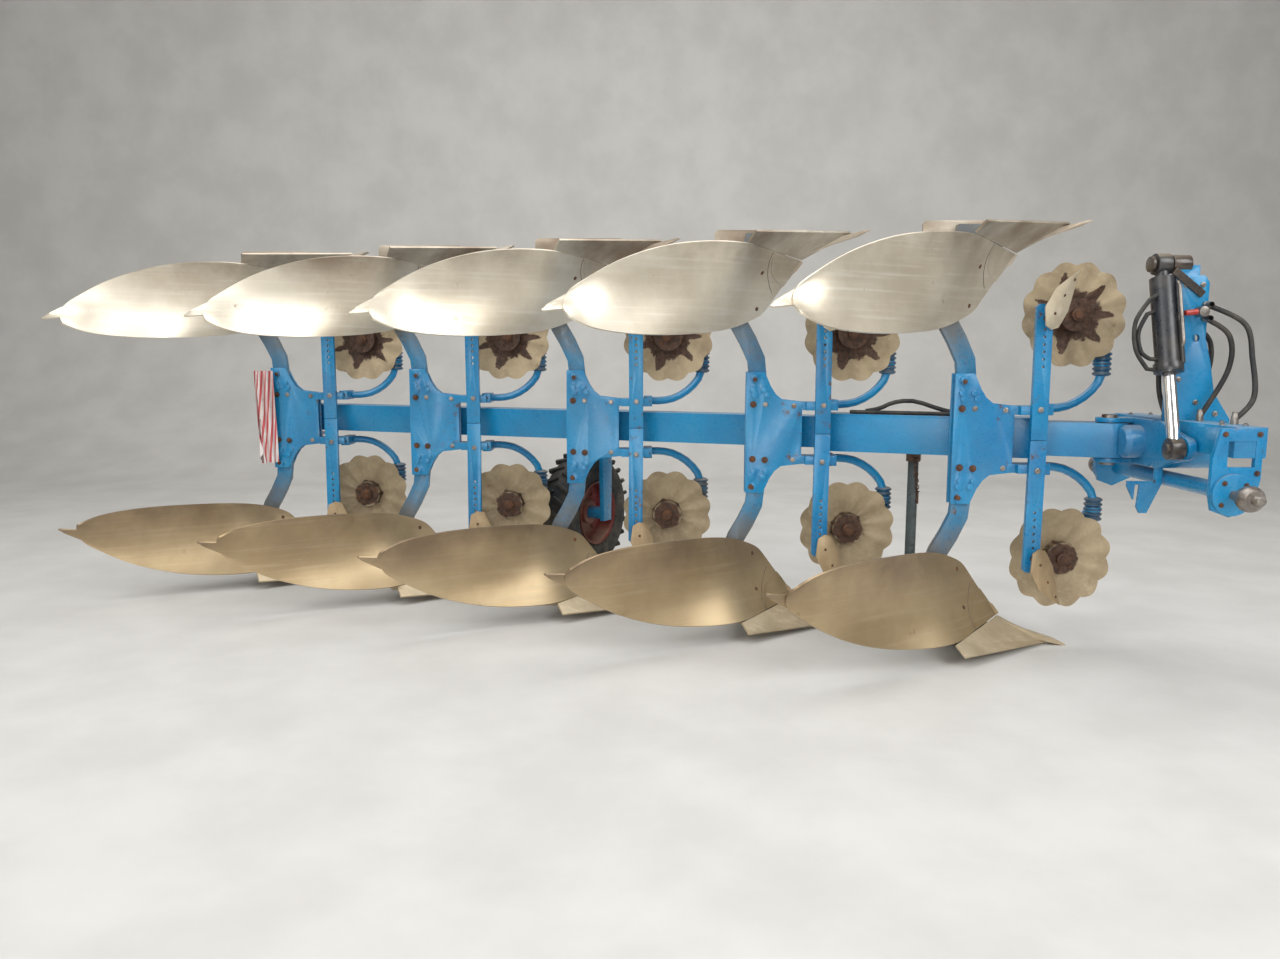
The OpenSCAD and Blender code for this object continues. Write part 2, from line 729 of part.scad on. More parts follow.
module wheel_tyre() {
    color("DimGray") at_wheel() rotate([90, 0, 0]) rotate_extrude($fn = 64) polygon([
        [205, -tyre_w / 2 + 22], [230, -tyre_w / 2 + 4], [300, -tyre_w / 2], [352, -tyre_w / 2 + 10],
        [382, -tyre_w / 2 + 44], [tyre_r, -40], [tyre_r, 40], [382, tyre_w / 2 - 44],
        [352, tyre_w / 2 - 10], [300, tyre_w / 2], [230, tyre_w / 2 - 4], [205, tyre_w / 2 - 22]]);
}

module wheel_rim() {
    color("DarkRed") at_wheel() rotate([90, 0, 0]) difference() {
        rotate_extrude($fn = 64) polygon([
            [40, -60], [75, -60], [75, -12], [188, -12], [188, -98], [204.7, -112], [204.7, -96],
            [200, -80], [200, 80], [204.7, 96], [204.7, 112], [188, 98], [188, 12], [75, 12], [75, 50], [40, 50]]);
        for (k = [0:5]) rotate([0, 0, 60 * k]) translate([132, 0, -20]) cylinder(h = 40, r = 17);
    }
}

module wheel_arm() {
    near = -tyre_w / 2 - 62;
    color("MidnightBlue") at_wheel() {
        translate([0, 58, 0]) rotate([90, 0, 0]) cylinder(h = 58 - near, r = 40 - run_fit);
        difference() {
            upright([[-44, -44], [44, -44], [52, 300], [46, axis_h - tyre_r + 46],
                [-46, axis_h - tyre_r + 46], [-52, 300]], near, 30);
            across_pin(0, near - 1, axis_h - tyre_r, 32, 26 + run_fit);
        }
    }
}

// outrigger square off the beam to the pivot of the wheel arm
module wheel_bracket() {
    near = -tyre_w / 2 - 62;
    reach = [wheel_x - pivot_x + (100 - near) * sin(wheel_yaw),
        wheel_y - pivot_y - (100 - near) * cos(wheel_yaw)];
    along = reach[0] * cos(beam_yaw) - reach[1] * sin(beam_yaw);
    off = reach[0] * sin(beam_yaw) + reach[1] * cos(beam_yaw);
    color("SteelBlue") {
        on_beam() {
            translate([along - 115, beam_size / 2 + seat_gap, -95]) cube([230, 24, 190]);
            translate([along - 50, beam_size / 2 + 20, -50]) cube([100, off - beam_size / 2 - 50, 100]);
        }
        translate([0, 0, axis_h - tyre_r]) at_wheel() {
            across_pin(0, near - 150, 0, 145, 52);
            across_pin(0, near - 70, 0, 112, 26);
            across_pin(0, near + 36, 0, 10, 40);
        }
    }
}

// Rear cloth

module warning_cloth() {
    color("Salmon") station(body_count) {
        upright([[-130, 740], [-20, 716], [20, 1290], [-110, 1316]], console_y - seat_gap - 16, 16);
    }
}

// Everything in the frame of the free top link bore

module in_frame() {
    translate([-(mast_x + 20), 0, -top_link_h]) children();
}

in_frame() headstock();
in_frame() linkage_pins();
in_frame() top_link_pin();
in_frame() mast_hoses();
in_frame() turn_barrel();
in_frame() turn_rod();
in_frame() turn_axle();
in_frame() swing_pin();
in_frame() beam();
in_frame() beam_pipes();
in_frame() bracket_pin_set();  // bracket_pins
in_frame() stand_holder();
in_frame() stand_leg();
in_frame() wheel_bracket();
in_frame() wheel_arm();
in_frame() wheel_tyre();
in_frame() wheel_rim();
in_frame() warning_cloth();
for (i = [1:body_count]) {
    in_frame() station(i) bracket(i);
    in_frame() station(i) legs();
    in_frame() station(i) mouldboards();
    in_frame() station(i) shares();
    in_frame() station(i) disc(i);
    in_frame() station(i) upper_row() disc(i);
}
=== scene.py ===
import json
import math

import bpy
import bmesh
from mathutils import Matrix, Vector
from mathutils.bvhtree import BVHTree


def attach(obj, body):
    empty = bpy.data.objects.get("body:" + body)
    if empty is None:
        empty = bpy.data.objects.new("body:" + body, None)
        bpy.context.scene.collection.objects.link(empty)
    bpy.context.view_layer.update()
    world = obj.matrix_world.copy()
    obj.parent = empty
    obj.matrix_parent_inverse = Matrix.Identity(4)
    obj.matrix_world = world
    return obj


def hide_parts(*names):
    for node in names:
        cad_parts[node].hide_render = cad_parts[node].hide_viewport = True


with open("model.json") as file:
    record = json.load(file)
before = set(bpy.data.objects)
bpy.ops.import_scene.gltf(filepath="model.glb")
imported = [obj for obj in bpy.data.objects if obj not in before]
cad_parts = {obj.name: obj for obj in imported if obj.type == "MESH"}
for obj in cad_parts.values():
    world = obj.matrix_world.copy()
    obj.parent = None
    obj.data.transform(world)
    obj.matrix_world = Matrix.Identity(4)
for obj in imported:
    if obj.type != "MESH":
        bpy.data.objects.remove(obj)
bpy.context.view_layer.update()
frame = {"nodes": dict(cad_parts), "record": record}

rad = math.radians
bodyCount = 5


# Camera first, at the photograph's place

view = {"place": (-2.410, -4.191, -0.084), "down": 7.432, "roll": -0.143, "lens": 26.58}

bpy.ops.object.camera_add(location=view["place"], rotation=(rad(90 - view["down"]), rad(view["roll"]), 0))
camera = bpy.context.object
camera.name = "photoCamera"
camera.data.lens = view["lens"]
camera.data.sensor_width = 36
bpy.context.scene.camera = camera
print("camera placed")


# Places, in metres: a draft point, a point of body i, a point along the beam

layout = {"origin": (0.937, 0, 1.478), "spacing": 1.0, "yaw": 20.6, "heel": -0.08, "axis": 1.01,
          "pivot": 0.738, "beamOff": 0.575}
yawCos, yawSin = math.cos(rad(layout["yaw"])), math.sin(rad(layout["yaw"]))
pivotY = (layout["beamOff"] - layout["pivot"] * yawSin) / yawCos + layout["heel"]


def draft(x, y, z):
    return Vector((x - layout["origin"][0], y, z - layout["origin"][2]))


def spot(i, x, y, z, upper=False):
    back = (i - 1) * layout["spacing"]
    height = 2 * layout["axis"] - z if upper else z
    return draft(x - back * yawCos, y + layout["heel"] + back * yawSin, height)


def beamSpot(along, side, up):
    return draft(layout["pivot"] + along * yawCos + side * yawSin, pivotY - along * yawSin + side * yawCos,
                 layout["axis"] + up)


# Small helpers

def deselectAll():
    bpy.ops.object.select_all(action="DESELECT")


def pick(piece):
    deselectAll()
    piece.select_set(True)
    bpy.context.view_layer.objects.active = piece


def applyAll(piece):
    pick(piece)
    for modifier in list(piece.modifiers):
        bpy.ops.object.modifier_apply(modifier=modifier.name)


def settle(piece, name, material, body):
    # its place goes into the mesh
    piece.name = name
    piece.data.name = name
    pick(piece)
    bpy.ops.object.transform_apply(location=True, rotation=True, scale=True)
    piece.data.materials.clear()
    piece.data.materials.append(material)
    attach(piece, body)
    return piece


def copyOf(node):
    # a free copy of a CAD node, its loose triangles merged
    source = frame["nodes"][node]
    piece = source.copy()
    piece.data = source.data.copy()
    for key in list(piece.keys()):
        del piece[key]
    bpy.context.scene.collection.objects.link(piece)
    place = source.matrix_world.copy()
    piece.parent = None
    piece.matrix_world = place
    pick(piece)
    bpy.ops.object.transform_apply(location=True, rotation=True, scale=True)
    bpy.ops.object.mode_set(mode="EDIT")
    bpy.ops.mesh.select_all(action="SELECT")
    bpy.ops.mesh.remove_doubles(threshold=0.00002)
    bpy.ops.mesh.normals_make_consistent(inside=False)
    bpy.ops.object.mode_set(mode="OBJECT")
    return piece


def joined(parts):
    deselectAll()
    for part in parts:
        part.select_set(True)
    bpy.context.view_layer.objects.active = parts[0]
    bpy.ops.object.join()
    return bpy.context.object


# Shader helpers

def newMaterial(name):
    material = bpy.data.materials.new(name)
    material.use_nodes = True
    graph = material.node_tree
    coords = graph.nodes.new("ShaderNodeTexCoord")
    return material, graph, graph.nodes["Principled BSDF"], coords.outputs["Object"]


def reopened(material):
    # a finished material again: its nodes, its colour socket, the colour so far and Object coordinates
    graph = material.node_tree
    colour = graph.nodes["Principled BSDF"].inputs["Base Color"]
    coords = graph.nodes.new("ShaderNodeTexCoord")
    return graph, colour, colour.links[0].from_socket, coords.outputs["Object"]


def stretched(graph, source, scale, turn=(0, 0, 0)):
    mapping = graph.nodes.new("ShaderNodeMapping")
    mapping.inputs["Scale"].default_value = scale
    mapping.inputs["Rotation"].default_value = [rad(a) for a in turn]
    graph.links.new(source, mapping.inputs["Vector"])
    return mapping.outputs["Vector"]


def noise(graph, source, scale, detail=5, rough=0.55):
    node = graph.nodes.new("ShaderNodeTexNoise")
    node.inputs["Scale"].default_value = scale
    node.inputs["Detail"].default_value = detail
    node.inputs["Roughness"].default_value = rough
    graph.links.new(source, node.inputs["Vector"])
    return node.outputs["Fac"]


def span(graph, value, low, high, to=1.0):
    node = graph.nodes.new("ShaderNodeMapRange")
    node.interpolation_type = "SMOOTHSTEP"
    node.inputs["From Min"].default_value = low
    node.inputs["From Max"].default_value = high
    node.inputs["To Max"].default_value = to
    graph.links.new(value, node.inputs["Value"])
    return node.outputs["Result"]


def put(graph, value, socket):
    if isinstance(value, bpy.types.NodeSocket):
        graph.links.new(value, socket)
    elif isinstance(value, (tuple, list)):
        socket.default_value = (*value, 1)
    else:
        socket.default_value = value


def mixed(graph, factor, a, b, blend="MIX"):
    node = graph.nodes.new("ShaderNodeMix")
    node.data_type = "RGBA"
    node.blend_type = blend
    put(graph, factor, node.inputs["Factor"])
    put(graph, a, node.inputs["A"])
    put(graph, b, node.inputs["B"])
    return node.outputs["Result"]


def sums(graph, operation, *values, clamp=True):
    node = graph.nodes.new("ShaderNodeMath")
    node.operation = operation
    node.use_clamp = clamp
    for value, socket in zip(values, node.inputs):
        put(graph, value, socket)
    return node.outputs[0]


def bumped(graph, shader, height, strength, distance):
    node = graph.nodes.new("ShaderNodeBump")
    node.inputs["Strength"].default_value = strength
    node.inputs["Distance"].default_value = distance
    graph.links.new(height, node.inputs["Height"])
    graph.links.new(node.outputs["Normal"], shader.inputs["Normal"])


def heightOf(graph, source):
    split = graph.nodes.new("ShaderNodeSeparateXYZ")
    graph.links.new(source, split.inputs[0])
    return split.outputs["Z"]


def facingUp(graph):
    geometry = graph.nodes.new("ShaderNodeNewGeometry")
    return heightOf(graph, geometry.outputs["Normal"])


def edges(graph, low, high):
    geometry = graph.nodes.new("ShaderNodeNewGeometry")
    return span(graph, geometry.outputs["Pointiness"], low, high)


def attribute(graph, name):
    node = graph.nodes.new("ShaderNodeAttribute")
    node.attribute_name = name
    return node.outputs["Fac"]


rustDark = (0.045, 0.016, 0.008)
rustWarm = (0.17, 0.062, 0.022)
dustColour = (0.36, 0.29, 0.19)


def paint(name, values):
    # paint with patches, chips to rusty steel, streaks of rust and dust where it lies flat
    material, graph, shader, source = newMaterial(name)
    patch = span(graph, noise(graph, source, 3.1, 6), 0.35, 0.72)
    colour = mixed(graph, patch, values["base"], values["second"])
    faded = span(graph, noise(graph, source, 11, 7, 0.65), 0.5, 0.8, 0.5)
    colour = mixed(graph, faded, colour, values["faded"])
    fine = noise(graph, source, 46, 9, 0.72)
    chips = span(graph, fine, values["chips"], values["chips"] + 0.035)
    worn = sums(graph, "MULTIPLY", edges(graph, 0.53, 0.58),
                span(graph, noise(graph, source, 21, 6, 0.7), 0.56, 0.68))
    chips = sums(graph, "MAXIMUM", chips, worn)
    rust = mixed(graph, span(graph, noise(graph, source, 60, 4), 0.4, 0.65), rustDark, rustWarm)
    streak = noise(graph, stretched(graph, source, (26, 26, 2.2)), 1, 5, 0.6)
    colour = mixed(graph, span(graph, streak, 0.6, 0.82, values["streaks"]), colour, rustWarm)
    colour = mixed(graph, chips, colour, rust)
    flat = span(graph, facingUp(graph), 0.35, 0.95)
    dust = sums(graph, "MULTIPLY", flat, span(graph, noise(graph, source, 9, 6, 0.7), 0.2, 0.62))
    dust = sums(graph, "MULTIPLY", dust, values["dust"])
    veil = span(graph, noise(graph, source, 2.3, 8, 0.7), 0.42, 0.75, values["veil"])
    dust = sums(graph, "MAXIMUM", dust, veil)
    colour = mixed(graph, dust, colour, dustColour)
    graph.links.new(colour, shader.inputs["Base Color"])
    rough = sums(graph, "MAXIMUM", span(graph, fine, 0.3, 0.8, values["rough"]), dust)
    rough = sums(graph, "ADD", rough, 0.22)
    graph.links.new(rough, shader.inputs["Roughness"])
    shader.inputs["Coat Weight"].default_value = values["coat"]
    shader.inputs["Coat Roughness"].default_value = 0.25
    bumped(graph, shader, sums(graph, "SUBTRACT", fine, chips), 0.25, 0.0012)
    return material


def bareEnds(material, middle, reach, metal):
    # paint that is rubbed off with the distance from the beam's height
    graph, colour, old, source = reopened(material)
    level = sums(graph, "SUBTRACT", heightOf(graph, source), middle, clamp=False)
    away = sums(graph, "ABSOLUTE", level, clamp=False)
    ragged = span(graph, noise(graph, source, 8, 7, 0.7), 0.25, 0.75, 0.14)
    far = span(graph, sums(graph, "SUBTRACT", away, ragged), *reach)
    graph.links.new(mixed(graph, far, old, metal), colour)


def steel(name, values):
    # bare steel: patches, long fine scratches, a film of rust
    material, graph, shader, source = newMaterial(name)
    patch = span(graph, noise(graph, source, values["patch"], 7, 0.6), 0.36, 0.68)
    colour = mixed(graph, patch, values["base"], values["second"])
    scratch = noise(graph, stretched(graph, source, values["grain"], values["turn"]), 1, 6, 0.6)
    colour = mixed(graph, span(graph, scratch, 0.48, 0.72, 0.45), colour, values["bright"])
    film = noise(graph, source, 7.5, 9, 0.72)
    film = span(graph, film, values["film"], values["film"] + 0.14)
    colour = mixed(graph, film, colour, values["rust"])
    spots = span(graph, noise(graph, source, 70, 6, 0.75), 0.66, 0.72)
    colour = mixed(graph, spots, colour, rustDark)
    graph.links.new(colour, shader.inputs["Base Color"])
    shader.inputs["Metallic"].default_value = values["metal"]
    rough = sums(graph, "ADD", span(graph, scratch, 0.3, 0.8, values["scratch"]), values["rough"])
    rough = sums(graph, "ADD", rough, sums(graph, "MULTIPLY", film, 0.3))
    graph.links.new(rough, shader.inputs["Roughness"])
    bumped(graph, shader, sums(graph, "SUBTRACT", scratch, film), values["bump"], 0.0008)
    return material


bluePaint = paint("bluePaint", {
    "base": (0.004, 0.245, 0.500), "second": (0.003, 0.170, 0.385), "faded": (0.022, 0.300, 0.540),
    "chips": 0.750, "streaks": 0.10, "dust": 0.42, "veil": 0.08, "rough": 0.3, "coat": 0.3})
legPaint = paint("legPaint", {
    "base": (0.010, 0.190, 0.370), "second": (0.016, 0.120, 0.240), "faded": (0.060, 0.200, 0.330),
    "chips": 0.690, "streaks": 0.30, "dust": 0.45, "veil": 0.30, "rough": 0.35, "coat": 0.1})
bareEnds(legPaint, -0.468, (0.23, 0.50), (0.118, 0.128, 0.132))  # the beam's axis lies at -0.468
clampBlue = paint("clampBlue", {
    "base": (0.005, 0.090, 0.190), "second": (0.008, 0.050, 0.100), "faded": (0.030, 0.140, 0.240),
    "chips": 0.70, "streaks": 0.3, "dust": 0.5, "veil": 0.3, "rough": 0.35, "coat": 0.2})
darkPaint = paint("darkPaint", {
    "base": (0.016, 0.020, 0.028), "second": (0.010, 0.012, 0.016), "faded": (0.045, 0.050, 0.060),
    "chips": 0.70, "streaks": 0.1, "dust": 0.5, "veil": 0.2, "rough": 0.3, "coat": 0.3})
rimPaint = paint("rimPaint", {
    "base": (0.190, 0.016, 0.014), "second": (0.105, 0.014, 0.012), "faded": (0.200, 0.060, 0.040),
    "chips": 0.60, "streaks": 0.5, "dust": 0.6, "veil": 0.4, "rough": 0.4, "coat": 0.0})
standPaint = paint("standPaint", {
    "base": (0.018, 0.040, 0.042), "second": (0.012, 0.026, 0.030), "faded": (0.050, 0.075, 0.070),
    "chips": 0.62, "streaks": 0.4, "dust": 0.5, "veil": 0.25, "rough": 0.4, "coat": 0.0})
clampRust = paint("clampRust", {
    "base": (0.120, 0.055, 0.026), "second": (0.060, 0.028, 0.015), "faded": (0.170, 0.095, 0.050),
    "chips": 0.55, "streaks": 0.6, "dust": 0.5, "veil": 0.3, "rough": 0.5, "coat": 0.0})
greasySteel = paint("greasySteel", {
    "base": (0.026, 0.019, 0.016), "second": (0.050, 0.034, 0.026), "faded": (0.085, 0.058, 0.042),
    "chips": 0.66, "streaks": 0.3, "dust": 0.25, "veil": 0.2, "rough": 0.2, "coat": 0.5})
redPlastic = paint("redPlastic", {
    "base": (0.420, 0.020, 0.014), "second": (0.300, 0.016, 0.012), "faded": (0.420, 0.110, 0.080),
    "chips": 0.75, "streaks": 0.1, "dust": 0.4, "veil": 0.2, "rough": 0.3, "coat": 0.2})
boardSteel = steel("boardSteel", {
    "base": (0.800, 0.735, 0.610), "second": (0.640, 0.565, 0.440), "bright": (0.900, 0.865, 0.780),
    "rust": (0.310, 0.235, 0.175), "patch": 2.1, "grain": (2, 2, 60), "turn": (0, 8, 0), "film": 0.63,
    "metal": 0.62, "rough": 0.34, "scratch": 0.07, "bump": 0.015})
# the height between the rows, the height spans over which painted shade browns the upper and lower boards
# toward their tops, and the colour of that painted shade
rows = {"middle": -0.45, "upperDark": (0.20, 0.50), "lowerDark": (-1.27, -0.97),
        "shade": (0.200, 0.140, 0.092)}


def paintRowShade(material, shade, lowerRowPaintedShade):
    # painted shade on the boards: colour browned toward their tops by height, and the whole lower row
    # darkened and browned against the upper
    graph, colour, old, source = reopened(material)
    height = heightOf(graph, source)
    rowBelow = span(graph, height, rows["middle"] + 0.05, rows["middle"] - 0.05)
    # painted shade: browner toward the top of each board, by height
    lowerTop = sums(graph, "MULTIPLY", span(graph, height, *rows["lowerDark"]), rowBelow)
    high = sums(graph, "MAXIMUM", span(graph, height, *rows["upperDark"]), lowerTop)
    cloudy = span(graph, noise(graph, source, 2.6, 5), 0.25, 0.75)
    high = sums(graph, "MULTIPLY", sums(graph, "MULTIPLY", high, shade), cloudy)
    # painted shade: the lower row darkened as a whole
    lowerShaded = mixed(graph, rowBelow, old, lowerRowPaintedShade, "MULTIPLY")
    graph.links.new(mixed(graph, high, lowerShaded, rows["shade"]), colour)


# painted shade on the mouldboards: browned toward their tops, the lower row darkened
paintRowShade(boardSteel, 1.0, (0.60, 0.50, 0.36))
shareSteel = steel("shareSteel", {
    "base": (0.620, 0.565, 0.460), "second": (0.500, 0.440, 0.340), "bright": (0.800, 0.760, 0.660),
    "rust": (0.250, 0.180, 0.125), "patch": 5, "grain": (3, 30, 30), "turn": (0, 0, 0), "film": 0.63,
    "metal": 0.45, "rough": 0.34, "scratch": 0.12, "bump": 0.04})
# painted shade on the shares: browned toward their tops, the lower row darkened
paintRowShade(shareSteel, 1.0, (0.92, 0.83, 0.69))
discSteel = steel("discSteel", {
    "base": (0.440, 0.345, 0.215), "second": (0.320, 0.245, 0.150), "bright": (0.530, 0.450, 0.310),
    "rust": (0.190, 0.110, 0.060), "patch": 7, "grain": (40, 9, 40), "turn": (0, 40, 0), "film": 0.60,
    "metal": 0.25, "rough": 0.46, "scratch": 0.2, "bump": 0.18})


def rustyHub(name, reach, rag, star):
    # disc steel whose middle is brown, with a ragged edge that runs out along the flutes
    material = discSteel.copy()
    material.name = name
    graph, colour, old, source = reopened(material)
    radial = attribute(graph, "radial")
    radial = sums(graph, "MULTIPLY_ADD", attribute(graph, "ray"), -star, radial, clamp=False)
    place = sums(graph, "MULTIPLY_ADD", noise(graph, source, 17, 6, 0.7), -rag, radial, clamp=False)
    middle = span(graph, place, reach - 0.5 * rag, reach - 0.5 * rag + 0.05)
    grain = span(graph, noise(graph, source, 48, 7, 0.75), 0.4, 0.65)
    brown = mixed(graph, grain, (0.048, 0.026, 0.017), (0.120, 0.062, 0.036))
    graph.links.new(mixed(graph, middle, brown, old), colour)
    return material


rustyUpper = rustyHub("rustyUpper", 0.48, 0.42, 0.27)
rustyLower = rustyHub("rustyLower", 0.30, 0.16, 0.03)
bladeSteel = steel("bladeSteel", {
    "base": (0.620, 0.540, 0.400), "second": (0.480, 0.400, 0.280), "bright": (0.740, 0.680, 0.550),
    "rust": (0.230, 0.150, 0.095), "patch": 9, "grain": (40, 12, 12), "turn": (0, 30, 0), "film": 0.62,
    "metal": 0.35, "rough": 0.40, "scratch": 0.15, "bump": 0.10})
# painted shade on the skimmers: only the lower row darkened
paintRowShade(bladeSteel, 0.0, (0.62, 0.52, 0.40))
bareSteel = steel("bareSteel", {
    "base": (0.330, 0.300, 0.270), "second": (0.200, 0.180, 0.165), "bright": (0.520, 0.500, 0.470),
    "rust": (0.130, 0.060, 0.030), "patch": 16, "grain": (60, 8, 60), "turn": (0, 0, 0), "film": 0.56,
    "metal": 0.85, "rough": 0.30, "scratch": 0.25, "bump": 0.15})
boltRust = steel("boltRust", {
    "base": (0.105, 0.048, 0.026), "second": (0.055, 0.028, 0.018), "bright": (0.180, 0.095, 0.055),
    "rust": (0.200, 0.085, 0.035), "patch": 34, "grain": (60, 60, 60), "turn": (0, 0, 0), "film": 0.5,
    "metal": 0.2, "rough": 0.6, "scratch": 0.2, "bump": 0.3})


def chromeLook():
    material, graph, shader, source = newMaterial("chromeRod")
    haze = noise(graph, stretched(graph, source, (60, 60, 3)), 1, 5)
    colour = mixed(graph, span(graph, haze, 0.4, 0.8), (0.80, 0.81, 0.83), (0.55, 0.54, 0.52))
    graph.links.new(colour, shader.inputs["Base Color"])
    shader.inputs["Metallic"].default_value = 1
    graph.links.new(sums(graph, "ADD", span(graph, haze, 0.3, 0.8, 0.18), 0.08), shader.inputs["Roughness"])
    return material


def rubberLook(name, base, dusty, scale):
    material, graph, shader, source = newMaterial(name)
    grain = noise(graph, source, scale, 6, 0.7)
    dust = span(graph, noise(graph, source, 6, 7, 0.7), 0.42, 0.75, dusty)
    graph.links.new(mixed(graph, dust, base, (0.20, 0.165, 0.115)), shader.inputs["Base Color"])
    graph.links.new(sums(graph, "ADD", span(graph, grain, 0.2, 0.8, 0.3), 0.48), shader.inputs["Roughness"])
    bumped(graph, shader, grain, 0.35, 0.0015)
    return material


def clothLook():
    # red stripes along its length on white, woven, with patches of dirt
    material, graph, shader, source = newMaterial("stripedCloth")
    wave = graph.nodes.new("ShaderNodeTexWave")
    wave.wave_profile = "SIN"
    wave.inputs["Scale"].default_value = 2.4
    flat = graph.nodes.new("ShaderNodeUVMap")
    flat.uv_map = "UVMap"
    graph.links.new(stretched(graph, flat.outputs["UV"], (1, 1, 1), (0, 0, 12)), wave.inputs["Vector"])
    stripe = span(graph, wave.outputs["Fac"], 0.60, 0.66)
    colour = mixed(graph, stripe, (0.78, 0.73, 0.71), (0.60, 0.085, 0.100))
    dirt = span(graph, noise(graph, source, 9, 8, 0.7), 0.46, 0.76, 0.4)
    colour = mixed(graph, dirt, colour, (0.26, 0.20, 0.16))
    graph.links.new(colour, shader.inputs["Base Color"])
    weave = noise(graph, stretched(graph, source, (420, 420, 420)), 1, 2)
    shader.inputs["Roughness"].default_value = 0.72
    shader.inputs["Sheen Weight"].default_value = 0.15
    bumped(graph, shader, weave, 0.3, 0.0006)
    return material


chromeRod = chromeLook()
hoseRubber = rubberLook("hoseRubber", (0.012, 0.012, 0.013), 0.35, 90)
tyreRubber = rubberLook("tyreRubber", (0.016, 0.016, 0.016), 0.6, 60)
stripedCloth = clothLook()
slotLook = {"frame_paint": bluePaint, "dark_paint": darkPaint, "rim_paint": rimPaint,
            "stand_paint": standPaint, "clamp_paint": clampRust, "board_steel": boardSteel,
            "disc_steel": discSteel, "bare_steel": bareSteel, "chrome_rod": chromeRod, "hose": hoseRubber,
            "tyre": tyreRubber, "cloth": stripedCloth}
nodeSlot = {part["node"]: part["material_slot"] for part in frame["record"]["subparts"]}
for node, piece in frame["nodes"].items():
    piece.data.materials.clear()
    piece.data.materials.append(slotLook[nodeSlot[node]])
print("materials made")


# Floor, backdrop and soft light

studio = {"middle": (-2.4, 0, -1.478), "depth": 9.0, "half": 16.0, "top": 9.0, "bend": 3}


def addFloor():
    bpy.ops.mesh.primitive_plane_add(size=2, location=studio["middle"])
    floor = bpy.context.object
    floor.name = "studioFloor"
    floor.scale = (studio["half"], studio["depth"], 1)
    bpy.ops.object.transform_apply(location=False, rotation=False, scale=True)
    # the far edge goes up as a backdrop, with a soft bend
    bpy.ops.object.mode_set(mode="EDIT")
    mesh = bmesh.from_edit_mesh(floor.data)
    for edge in mesh.edges:
        edge.select = all(vertex.co.y > 1 for vertex in edge.verts)
    bmesh.update_edit_mesh(floor.data)
    bpy.ops.mesh.extrude_region_move(TRANSFORM_OT_translate={"value": (0, 0, studio["top"])})
    bpy.ops.object.mode_set(mode="OBJECT")
    bend = floor.modifiers.new("bend", "BEVEL")
    bend.width = studio["bend"]
    bend.segments = 16
    applyAll(floor)
    bpy.ops.object.shade_smooth()
    material, graph, shader, source = newMaterial("paleFloor")
    tone = span(graph, noise(graph, source, 1.7, 6), 0.3, 0.7)
    graph.links.new(mixed(graph, tone, (0.56, 0.55, 0.53), (0.63, 0.62, 0.60)), shader.inputs["Base Color"])
    shader.inputs["Roughness"].default_value = 0.85
    floor.data.materials.append(material)


def addLight(name, place, size, power, aim):
    bpy.ops.object.light_add(type="AREA", location=place)
    light = bpy.context.object
    light.name = name
    light.data.size = size
    light.data.energy = power
    light.rotation_euler = (Vector(aim) - Vector(place)).to_track_quat("-Z", "Y").to_euler()


# name, place, size, power and the point it is turned to
lights = [("skyLeft", (-7.5, -5.5, 5.5), 6, 410, (-2.4, 0.5, -0.6)),
          ("skyRight", (3.5, -5.5, 4.5), 5, 400, (-2.0, 0.5, -0.6)),
          ("skyTop", (-2.4, 1.5, 6.5), 7, 420, (-2.4, 0.8, -0.6)),
          ("openYard", (-2.6, -8.0, -0.2), 5, 250, (-2.4, 0.5, 0.1))]

addFloor()
for light in lights:
    addLight(*light)
world = bpy.data.worlds.new("paleWorld")
bpy.context.scene.world = world
world.use_nodes = True
world.node_tree.nodes["Background"].inputs["Color"].default_value = (0.80, 0.84, 0.90, 1)
world.node_tree.nodes["Background"].inputs["Strength"].default_value = 0.75
bpy.context.scene.view_settings.view_transform = "Standard"
print("stage set")


# Hoses on the mast, on the CAD's own routes, and two beside the cylinder: free cords, in draft millimetres

mastHoses = {"radius": 0.011, "routes": [
    [(890, 49.4, 1600), (890, 62, 1600), (884, 130, 1490), (884, 120, 1260), (904, 90, 1140),
     (904, 90, 1122.4)],
    [(959, 49.4, 1560), (959, 62, 1560), (1080, 84, 1460), (1070, 90, 1290), (965, 120, 1140),
     (965, 120, 1122.4)],
    [(966, -49.4, 1562), (966, -62, 1562), (1060, -84, 1486), (1062, -90, 1340), (950, -100, 1140),
     (950, -100, 1122.4)],
    [(966, -49.4, 1620), (966, -62, 1620), (1100, -120, 1536), (1112, -170, 1390), (1080, -250, 1230),
     (976, -300, 1140), (976, -300, 1122.4)]]}
barrelHoses = {"radius": 0.009, "routes": [
    [(746, -66, 1660), (716, -66, 1640), (655, -80, 1545), (652, -100, 1430), (700, -112, 1345),
     (741, -118, 1340)],
    [(744, -60, 1590), (712, -62, 1580), (672, -76, 1500), (678, -96, 1420), (712, -106, 1388),
     (742, -110, 1386)]]}
hoseSteps = 42


def throughPoints(guide, steps):
    points = []
    last = len(guide) - 1
    for step in range(steps + 1):
        t = step * last / steps
        i = min(int(t), last - 1)
        f = t - i
        a, b, c, d = guide[max(i - 1, 0)], guide[i], guide[i + 1], guide[min(i + 2, last)]
        points.append(b + 0.5 * f * (c - a + f * (2 * a - 5 * b + 4 * c - d + f * (3 * (b - c) + d - a))))
    return points


def tubeAlong(points, radius):
    line = bpy.data.curves.new("tube", "CURVE")
    line.dimensions = "3D"
    line.bevel_depth = radius
    line.bevel_resolution = 4
    line.use_fill_caps = True
    spline = line.splines.new("POLY")
    spline.points.add(len(points) - 1)
    for point, place in zip(spline.points, points):
        point.co = (*place, 1)
    piece = bpy.data.objects.new("tube", line)
    bpy.context.scene.collection.objects.link(piece)
    return piece


